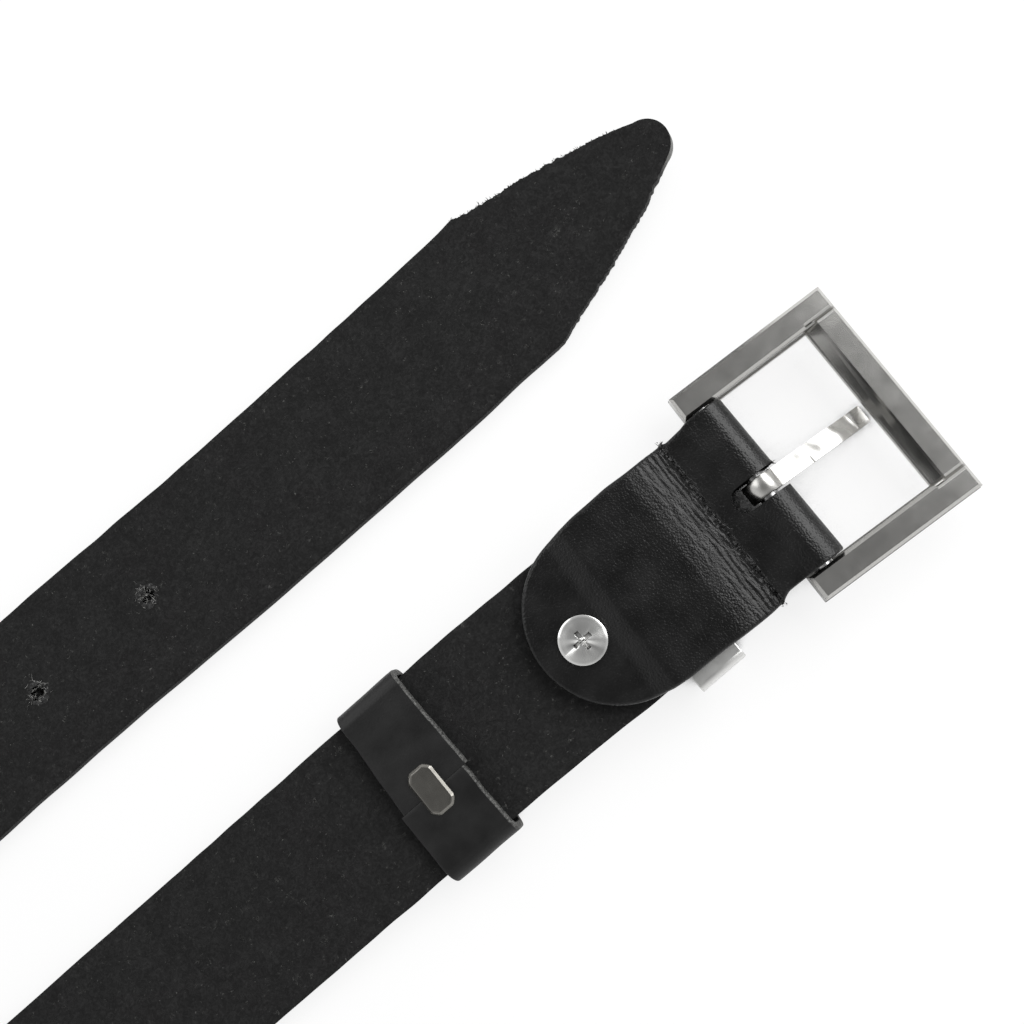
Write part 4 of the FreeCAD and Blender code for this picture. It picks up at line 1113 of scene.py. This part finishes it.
# ---------------------------------------------------------------- slider loop
@dataclass
class SliderLoop:
    """Leather loop that slides on the strap: one strip bent round it, its ends meeting on the back."""
    layout: Layout
    place: float = -45.6        # its middle along the strap
    across_middle: float = -28.55
    half_across: float = 19.6
    low: float = -1.85          # height of the front under the strap's grain side
    high: float = 5.9           # height of the back
    wall: float = 1.6
    corner: float = 2.75
    crown: float = 0.45         # how far the back rises in the middle
    seam: float = -3.5
    gap: float = 0.06
    arris: float = 0.38
    border: int = 3             # columns of the outside that show the cut edge
    columns: int = 26

    def path(self) -> np.ndarray:
        """Outer line of the loop in its own plane, from the seam round the strap to the seam.

        It is a rectangle whose corners are quarter circles; the back is slightly crowned.

        Returns:
            Array (points, 2) of places across the strap and heights.
        """
        r, side = self.corner, self.half_across
        quarter = np.linspace(0, math.pi / 2, 12)

        def arc(cx: float, cz: float, start: float) -> np.ndarray:
            """Quarter circle about (cx, cz) that begins at an angle."""
            return np.stack([cx + r * np.cos(start + quarter), cz + r * np.sin(start + quarter)], axis=1)

        top_right = np.stack([np.linspace(self.seam + self.gap / 2, side - r, 40),
                              np.full(40, self.high)], axis=1)[:-1]
        right = arc(side - r, self.high - r, 0)[::-1]
        lower_right = arc(side - r, self.low + r, -math.pi / 2)[::-1]
        bottom = np.stack([np.linspace(side - r, r - side, 50), np.full(50, self.low)], axis=1)[1:-1]
        lower_left = arc(r - side, self.low + r, math.pi)[::-1]
        left = arc(r - side, self.high - r, math.pi / 2)[::-1]
        top_left = np.stack([np.linspace(r - side, self.seam - self.gap / 2, 34),
                             np.full(34, self.high)], axis=1)[1:]
        line = np.concatenate([top_right, right, lower_right, bottom, lower_left, left, top_left])
        rise = self.crown * (1 - (line[:, 0] / side) ** 2)
        line[:, 1] += np.where(line[:, 1] > self.high - 0.01, rise, 0)
        return line

    def build(self) -> bpy.types.Object:
        """Build the loop: outer and inner face over one grid, walls on both sides, caps at the seam.

        Returns:
            The loop.
        """
        line = self.path()
        tangent = np.gradient(line, axis=0)
        tangent /= np.linalg.norm(tangent, axis=1, keepdims=True)
        normal = np.stack([-tangent[:, 1], tangent[:, 0]], axis=1)
        run = np.concatenate([[0], np.cumsum(np.linalg.norm(np.diff(line, axis=0), axis=1))])
        part = run / run[-1]
        spots = on_line(run)
        knots = [0, 0.24, 0.5, 0.79, 0.9, 1]
        front = flowing(part, knots, [8.75, 8.25, 8.2, 8.1, 8.0, 7.85]) + 0.07 * bumps(spots, 6, 41)
        back = flowing(part, knots, [-7.5, -6.6, -7.2, -7.9, -8.2, -8.1]) + 0.07 * bumps(spots, 7, 42)
        near = np.array([0, 0.005, 0.013, 0.026, 0.05])
        fraction = np.concatenate([near, np.linspace(0.09, 0.91, self.columns - 10), 1 - near[::-1]])
        along = back[:, None] + (front - back)[:, None] * fraction
        distance = np.minimum(along - back[:, None], front[:, None] - along)
        to_end = np.minimum(run, run[-1] - run)[:, None] + 0 * distance
        sink = np.maximum(rounding(distance, self.arris), rounding(to_end, 0.12))
        grid = np.stack([along, np.broadcast_to(line[:, :1], along.shape),
                         np.broadcast_to(line[:, 1:], along.shape)], axis=-1)
        out = np.stack([np.zeros_like(normal[:, 0]), normal[:, 0], normal[:, 1]], axis=1)
        wave = 0.06 * bumps(grid, 8, 43) * np.clip(distance / 2, 0, 1)
        outer = grid + out[:, None] * (wave - sink)[..., None]
        inner = grid - out[:, None] * (self.wall - rounding(distance, 0.15))[..., None]
        rows, columns = along.shape
        local = np.concatenate([outer.reshape(-1, 3), inner.reshape(-1, 3)])
        slope = self.layout.slope
        sine, cosine = math.sin(slope), math.cos(slope)
        foot = (self.place - self.layout.ramp_start) * math.tan(slope)
        points = np.stack([self.place + local[:, 0] * cosine - local[:, 2] * sine,
                           self.across_middle + local[:, 1],
                           foot + local[:, 0] * sine + local[:, 2] * cosine], axis=1)
        outside, *others = shell_faces(rows, columns)
        outside = outside.reshape(rows - 1, columns - 1, 4)
        face, border = outside[:, :-self.border].reshape(-1, 4), outside[:, -self.border:].reshape(-1, 4)
        return new_mesh("slider_hide", self.layout.to_row(points), [face, border, *others],
                        [0, 2, 1, 2, 2, 2, 2])


# ---------------------------------------------------------------- fibres
@dataclass
class Fibres:
    """Torn fibres: fuzzy lips round the size holes, frayed taper edges and tufts at the ridge."""
    layout: Layout
    strap: Strap
    holes: list[np.ndarray]
    seed: int = 7
    per_hole: int = 90
    on_upper: int = 60          # threads along the upper edge of the taper
    on_lower: int = 24          # along its lower edge
    on_ridge: tuple[int, int, int] = (50, 22, 12)   # along the torn line and at its two ends
    at_slot: int = 16
    lip_radius: float = 2.05
    lip_half: float = 0.55
    lip_height: float = 0.20
    web_radius: float = 1.2
    web_half: float = 0.85
    web_level: float = 1.5

    def threads(self, root: np.ndarray, way: np.ndarray, length: np.ndarray,
                radius: np.ndarray) -> tuple[np.ndarray, list[np.ndarray]]:
        """Thin curved threads: the point at t is root + way L t + bend L t^2, with a tapering radius.

        Args:
            root: (n, 3) start of each thread in mm.
            way: (n, 3) direction of each thread.
            length: (n,) length of each thread.
            radius: (n,) radius at the root.

        Returns:
            Points and the face arrays (sides, then end caps) for new_mesh.
        """
        dice = np.random.default_rng(self.seed)
        count = len(root)
        bend = dice.normal(0, 0.35, (count, 3)) * [1, 1, 0.5]
        t = np.linspace(0, 1, 4)[None, :, None]
        line = root[:, None] + (way[:, None] * t + bend[:, None] * t * t) * length[:, None, None]
        side = np.cross(way, [0.03, 0.02, 1.0])
        side /= np.maximum(np.linalg.norm(side, axis=1, keepdims=True), 1e-6)
        other = np.cross(side, way)
        turn = np.radians([0, 120, 240])
        ring = side[:, None] * np.cos(turn)[None, :, None] + other[:, None] * np.sin(turn)[None, :, None]
        thin = (1 - 0.75 * t)[..., None] * radius[:, None, None, None]
        points = (line[:, :, None] + ring[:, None] * thin).reshape(-1, 3)
        base = (np.arange(count) * 12)[:, None, None, None]
        level = (np.arange(3) * 3)[None, :, None, None]
        k = np.arange(3)[None, None, :, None]
        corners = np.concatenate([k, (k + 1) % 3, (k + 1) % 3 + 3, k + 3], axis=3)
        sides = (base + level + corners).reshape(-1, 4)
        foot = np.arange(count)[:, None] * 12 + [2, 1, 0]
        tip = np.arange(count)[:, None] * 12 + [9, 10, 11]
        return points, [sides, foot, tip]

    def frayed(self) -> bpy.types.Object:
        """Model the threads: paler ones round the holes, dark ones along the edges, the ridge and the slot.

        Returns:
            The piece of threads.
        """
        dice = np.random.default_rng(self.seed + 1)
        centres = self.layout.from_row(np.array(self.holes))
        count = len(centres) * self.per_hole
        angle = dice.uniform(0, 2 * math.pi, count)
        reach = dice.uniform(1.1, 2.9, count)
        out = np.column_stack([np.cos(angle), np.sin(angle), np.zeros(count)])
        root = np.repeat(centres, self.per_hole, axis=0) + out * reach[:, None]
        root[:, 2] = self.strap.thick + dice.uniform(-0.15, 0.12, count)
        heading = angle + dice.normal(math.pi, 1.2, count)
        way = np.column_stack([np.cos(heading), np.sin(heading), dice.normal(0.12, 0.15, count)])
        pale_points, pale_faces = self.threads(root, way, dice.uniform(0.5, 1.7, count),
                                               dice.uniform(0.03, 0.06, count))
        track = self.strap.tip_strand()
        height = track.centre + track.flesh * (track.thick / 2 - 0.3)[:, None]
        upper = height + track.across * track.high[:, None]
        lower = height + track.across * track.low[:, None]
        first = upper[dice.choice(np.flatnonzero((track.plan > 29) & (track.plan < 66)), self.on_upper)]
        second = lower[dice.choice(np.flatnonzero((track.plan > 29) & (track.plan < 52)), self.on_lower)]
        inside, right, left = self.on_ridge
        ridge_y = np.concatenate([dice.uniform(-48.3, -10.8, inside), dice.normal(-11.3, 0.5, right),
                                  dice.normal(-48.0, 0.5, left)])
        ridge_x = self.strap.ridge + self.strap.slant * (ridge_y - self.layout.bar_across)
        ridge = np.column_stack([ridge_x + dice.normal(0, 0.25, len(ridge_y)), ridge_y,
                                 np.full(len(ridge_y), 12.1)])
        lip = np.column_stack([dice.uniform(40.5, 43.6, self.at_slot),
                               dice.normal(-27.2, 0.25, self.at_slot),
                               dice.uniform(9.5, 12.0, self.at_slot)])
        root = np.concatenate([first, second, ridge, lip])
        root = root + dice.normal(0, 0.06, root.shape)
        outward = np.concatenate([np.tile([0.35, 0.9, 0.05], (self.on_upper, 1)),
                                  np.tile([0.5, -0.8, 0.05], (self.on_lower, 1)),
                                  np.column_stack([np.zeros(len(ridge)),
                                                   np.sign(ridge_y - self.layout.bar_across) * 0.7,
                                                   np.full(len(ridge), 0.25)]),
                                  np.tile([0.5, -0.3, 0.5], (self.at_slot, 1))])
        way = outward + dice.normal(0, 0.5, outward.shape) * [1, 1, 0.4]
        length = np.concatenate([dice.uniform(0.15, 0.5, self.on_upper),
                                 dice.uniform(0.15, 0.4, self.on_lower),
                                 dice.uniform(0.2, 0.6, len(ridge)), dice.uniform(0.4, 1.1, self.at_slot)])
        dark_points, dark_faces = self.threads(root, way, length, dice.uniform(0.07, 0.13, len(root)))
        points = np.concatenate([pale_points, dark_points])
        faces = pale_faces + [group + len(pale_points) for group in dark_faces]
        thing = new_mesh("torn_threads", self.layout.to_row(points), faces, [0, 0, 0, 1, 1, 1])
        thing.data.materials.append(FibreFinish("torn_collagen_pale", "#b0b0ad").build())
        thing.data.materials.append(FibreFinish("torn_collagen_dyed", "#2a2a29").build())
        return thing

    def rings(self, middle: float, half: float, height: float,
              level: float) -> tuple[np.ndarray, np.ndarray]:
        """Flattened rings, one in each hole, whose radius, width and height wander round the hole.

        The point at (turn a, roll b) is at radius middle + half cos b and height level + height sin b.

        Args:
            middle: radius of the ring's core in mm.
            half: half its width in mm.
            height: half its height in mm.
            level: height of the core in mm.

        Returns:
            Points in mm and faces.
        """
        around, over = 64, 12
        turn = np.linspace(0, 2 * np.pi, around, endpoint=False)[:, None]
        roll = np.linspace(0, 2 * np.pi, over, endpoint=False)[None]
        k, m = np.meshgrid(np.arange(around), np.arange(over), indexing="ij")
        after, above = (k + 1) % around, (m + 1) % over
        quads = np.stack([k * over + m, after * over + m, after * over + above, k * over + above], axis=-1)
        parts, faces = [], []
        for number, hole in enumerate(self.holes):
            centre = self.layout.from_row(hole)
            spots = np.stack([np.cos(turn) * 3, np.sin(turn) * 3, 0 * turn + 10.0 * number], axis=-1)
            wide = half * (1 + 0.35 * bumps(spots, 1.6, 91))
            high = height * (1 + 0.5 * bumps(spots, 1.0, 92))
            radius = middle + 0.15 * bumps(spots, 2.2, 93) + wide * np.cos(roll)
            ring = np.stack([centre[0] + radius * np.cos(turn), centre[1] + radius * np.sin(turn),
                             level + high * np.sin(roll) + 0 * turn], axis=-1)
            parts.append((ring + 0.04 * bumps(ring, 0.5, 94)[..., None]).reshape(-1, 3))
            faces.append(quads.reshape(-1, 4) + number * around * over)
        return np.concatenate(parts), np.concatenate(faces)

    def lips(self) -> bpy.types.Object:
        """Model the fuzzy raised lip round each size hole and the dark web of fibres inside it.

        Returns:
            The piece of lips and webs.
        """
        lip, lip_faces = self.rings(self.lip_radius, self.lip_half, self.lip_height, self.strap.thick - 0.1)
        web, web_faces = self.rings(self.web_radius, self.web_half, 0.2, self.web_level)
        points = self.layout.to_row(np.concatenate([lip, web]))
        thing = new_mesh("torn_lips", points, [lip_faces, web_faces + len(lip)], [0, 1])
        thing.data.materials.append(FibreFinish("torn_nap", "#383838").build())
        thing.data.materials.append(FibreFinish("dyed_nap", "#1c1c1c").build())
        return thing


# ---------------------------------------------------------------- metal
@dataclass(frozen=True)
class MetalPart:
    """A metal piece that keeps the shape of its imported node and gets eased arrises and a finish."""
    node: str
    piece: str
    body: str
    slot: str
    finish: PlatedFinish | TurnedFinish
    arris: float                # mm, width of the eased arris
    merge: float = 0.001        # mm, points closer than this are one
    sharp: float = 25.0         # degrees, edges sharper than this are eased

    def build(self, node: bpy.types.Object) -> bpy.types.Object:
        """Copy the node's mesh, merge it, ease its arrises and finish it.

        Args:
            node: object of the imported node, which is left alone.

        Returns:
            The piece that stands for the node.
        """
        thing = bpy.data.objects.new(self.piece, node.data.copy())
        bpy.context.scene.collection.objects.link(thing)
        thing.data.materials.clear()
        thing.data.materials.append(self.finish.build())
        weld = thing.modifiers.new("joined", "WELD")
        weld.merge_threshold = self.merge * MM
        eased = thing.modifiers.new("arris", "BEVEL")
        eased.width = self.arris * MM
        eased.segments = 2
        eased.limit_method = "ANGLE"
        eased.angle_limit = math.radians(self.sharp)
        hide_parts(self.node)
        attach(thing, self.body)
        return thing


# ---------------------------------------------------------------- stage
@dataclass
class Stage:
    """Pale floor, soft light and the camera above the two ends of the belt."""
    layout: Layout
    sensor: float = 36.0        # mm
    lens: float = 42.1875       # mm
    tilt_x: float = 8.1         # degrees about the view's right-hand direction
    tilt_y: float = 5.7         # degrees about its upward direction
    distance: float = 241.0     # mm from the layout's origin
    heading: float = 41.0       # degrees between the strands and the view's right-hand direction
    floor_white: float = 0.82   # share of plain white in what the camera sees of the table
    contact: float = 25.0       # mm, reach of the shadow painted on the table round and under the belt
    table_half: float = 3.0     # metres

    def floor(self) -> None:
        """White matte table with a painted shadow: its colour and its white glow turn dark where the belt
        hides it.
        """
        material, tree, shader = new_material("matte_white_card")
        fill(tree, shader, {"Roughness": 0.9, "Specular IOR Level": 0.1})
        seen = put(tree, "LightPath").outputs["Is Camera Ray"]
        painted_shadow_mask = put(tree, "AmbientOcclusion", {"Distance": self.contact * MM})
        # painted shadow: the share of white glow falls to nothing where the belt hides the table
        open_part = put(tree, "MapRange", {"Value": painted_shadow_mask.outputs["AO"], "From Min": 0.25, "From Max": 0.40,
                                           "To Max": self.floor_white})
        # painted shadow: the card's colour goes from near black in hidden places to white in the open
        card_and_painted_shadow = put(tree, "ValToRGB", {"Fac": painted_shadow_mask.outputs["AO"]},
                   stops=[(0.22, srgb("#1c1c1c")), (0.40, srgb("#f4f4f4"))])
        fill(tree, shader, {"Base Color": card_and_painted_shadow})
        part = put(tree, "Math", {0: seen, 1: open_part}, operation="MULTIPLY")
        glow = put(tree, "Emission", {"Color": (1, 1, 1, 1), "Strength": 1.0})
        mixed = put(tree, "MixShader", {0: part, 1: shader, 2: glow})
        fill(tree, tree.nodes["Material Output"], {"Surface": mixed})
        corners = np.array([[-1, -1, 0], [1, -1, 0], [1, 1, 0], [-1, 1, 0]]) * self.table_half
        floor = new_mesh("table", corners - [0, 0, 0.3 * MM], [np.array([[0, 1, 2, 3]])])
        floor.data.materials.append(material)

    def light(self) -> None:
        """Light tent: bright walls, a darker top where the camera looks through, and one soft lamp."""
        world = bpy.data.worlds.new("light_tent")
        bpy.context.scene.world = world
        world.use_nodes = True
        tree = world.node_tree
        tree.nodes.clear()
        towards = put(tree, "TexCoord").outputs["Generated"]
        height = put(tree, "SeparateXYZ", {"Vector": towards}).outputs["Z"]
        levels = [(0.0, 1.0), (0.50, 0.85), (0.80, 0.50), (0.93, 0.25), (1.0, 0.21)]
        tent = put(tree, "ValToRGB", {"Fac": height}, stops=[(spot, (v, v, v, 1)) for spot, v in levels])
        seen = put(tree, "LightPath").outputs["Is Camera Ray"]
        colour = put(tree, "MixRGB", {"Fac": seen, "Color1": tent, "Color2": (1, 1, 1, 1)})
        sky = put(tree, "Background", {"Color": colour, "Strength": 1.0})
        put(tree, "OutputWorld", {"Surface": sky})
        aim = Vector(self.layout.to_row(np.zeros(3)))
        for name, place, wide, high, energy in (("window", (0.54, 0.05, 0.49), 0.75, 0.55, 5.6),
                                                ("fill", (-0.30, 0.50, 0.50), 0.5, 0.4, 0.9)):
            lamp = bpy.data.lights.new(name, "AREA")
            lamp.shape = "RECTANGLE"
            lamp.size, lamp.size_y, lamp.energy = wide, high, energy
            thing = bpy.data.objects.new(name, lamp)
            bpy.context.scene.collection.objects.link(thing)
            place = aim + Vector(place)
            turned = (place - aim).to_track_quat("Z", "Y").to_matrix().to_4x4()
            thing.matrix_world = Matrix.Translation(place) @ turned

    def image_axes(self) -> tuple[Vector, Vector]:
        """Right-hand and upward direction of the view, on the table."""
        turn = math.radians(self.heading)
        return (Vector((math.cos(turn), -math.sin(turn), 0)), Vector((math.sin(turn), math.cos(turn), 0)))

    def camera(self) -> None:
        """Camera nearly straight above, tilted a little and turned against the strands."""
        right, up = self.image_axes()
        tilt = math.hypot(self.tilt_x, self.tilt_y)
        angle = math.radians(tilt)
        axis = (right * self.tilt_x - up * self.tilt_y) / tilt
        back = axis * math.sin(angle) + Vector((0, 0, 1)) * math.cos(angle)
        swing = Vector((0, 0, 1)).rotation_difference(back).to_matrix()
        aim = Vector(self.layout.to_row(np.zeros(3)))
        data = bpy.data.cameras.new("camera")
        data.sensor_width = self.sensor
        data.lens = self.lens
        data.clip_start, data.clip_end = 0.005, 20.0
        camera = bpy.data.objects.new("camera", data)
        bpy.context.scene.collection.objects.link(camera)
        turned = Matrix((swing @ right, swing @ up, swing @ Vector((0, 0, 1)))).transposed()
        camera.matrix_world = Matrix.Translation(aim + back * self.distance * MM) @ turned.to_4x4()
        bpy.context.scene.camera = camera


# ---------------------------------------------------------------- belt
@dataclass
class Belt:
    """The belt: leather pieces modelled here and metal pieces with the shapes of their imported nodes."""
    frame: dict
    sharp: float = 50.0         # degrees, edges of the leather sharper than this are shown as sharp
    layout: Layout = field(init=False)

    def __post_init__(self) -> None:
        """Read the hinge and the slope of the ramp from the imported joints."""
        joints = {joint["name"]: joint for joint in self.frame["joints"]}
        axis = joints["slider_slide"]["axis"]
        self.layout = Layout(np.array(joints["buckle_swing"]["pos_m"]), math.atan2(axis[2], axis[0]))

    def settle(self, hide: bpy.types.Object, node: str, body: str) -> None:
        """Mark the sharp edges of a leather piece and say which node it stands for.

        Args:
            hide: the modelled piece.
            node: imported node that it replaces.
            body: body that it moves with.
        """
        hide.data.set_sharp_from_angle(angle=math.radians(self.sharp))
        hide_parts(node)
        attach(hide, body)
        LOG.info("%s: %d faces", node, len(hide.data.polygons))

    def leather(self) -> None:
        """Model the strap and the slider loop."""
        suede, grain, edge = SuedeFinish().build(), GrainFinish().build(), CutEdgeFinish().build()
        strap = Strap(self.layout)
        hide = strap.build()
        mounts = self.frame["record"]["mounts"]
        holes = [np.array(m["pos_m"]) for m in mounts if m["name"].startswith("size_hole")]
        for finish in (suede, grain, edge):
            hide.data.materials.append(finish)
        strap.cut(hide, holes)
        strap.mark_wear(hide)
        self.settle(hide, "strap", "belt")
        fibres = Fibres(self.layout, strap, holes)
        for torn in (fibres.frayed(), fibres.lips()):
            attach(torn, "belt")
        loop = SliderLoop(self.layout).build()
        smooth = GrainFinish(name="cowhide_smooth_grain", colour="#0b0b0b", worn="#161616", pebble=0.5,
                             pebble_height=0.05, roughness=0.44, creased=False).build()
        rim = CutEdgeFinish(name="cowhide_loop_edge", dark="#1a1a1a", pale="#6a6a68", fibre=0.45).build()
        for finish in (smooth, suede, rim):
            loop.data.materials.append(finish)
        self.settle(loop, "slider_loop", "slider")

    def metal(self) -> None:
        """Finish the metal pieces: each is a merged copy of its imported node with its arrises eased."""
        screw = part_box("tab_screw")
        centre = tuple((screw[0] + screw[1]) / 2)
        casting = CastFinish("nickel_plated_casting", "#bdbcb9", 0.2, streak=5.0,
                             hinge=tuple(self.layout.hinge))
        wire = PlatedFinish("drawn_steel_wire", "#b5b5b5", 0.3)
        strip = PlatedFinish("nickel_plated_strip", "#c0bfbc", 0.24, streak=4.4, pit=2.9, detail=0.0)
        sheet = PlatedFinish("satin_nickel_sheet", "#dadad8", 0.36, streak=1.5)
        clip = PlatedFinish("nickel_plated_clip", "#83817c", 0.24, streak=2.5, pit=0.1, detail=1.0)
        head = TurnedFinish("turned_nickel_head", "#efefed", centre)
        post = PlatedFinish("nickel_plated_post", "#cfcfcd", 0.2)
        parts = [MetalPart("buckle_frame", "cast_frame", "buckle", "frame_metal", casting, 0.22),
                 MetalPart("buckle_bar", "drawn_bar", "buckle", "bar_steel", wire, 0.1),
                 MetalPart("prong", "rolled_prong", "prong", "prong_metal", strip, 0.2),
                 MetalPart("keeper", "bent_keeper", "belt", "keeper_metal", sheet, 0.2),
                 MetalPart("slider_clip", "clinched_clip", "slider", "clip_metal", clip, 0.45),
                 MetalPart("tab_screw", "domed_screw", "belt", "screw_metal", head, 0.12),
                 MetalPart("screw_post", "hollow_post", "belt", "post_metal", post, 0.1)]
        for part in parts:
            part.build(self.frame["nodes"][part.node])
            LOG.info("%s finished", part.piece)


def main() -> None:
    """Load the frame, build the pieces, then the stage."""
    logging.basicConfig(level=logging.INFO, format="%(name)s: %(message)s")
    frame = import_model()
    belt = Belt(frame)
    belt.leather()
    belt.metal()
    stage = Stage(belt.layout)
    stage.floor()
    stage.light()
    stage.camera()
    bpy.context.scene.view_settings.view_transform = "Standard"


if __name__ == "__main__":
    main()
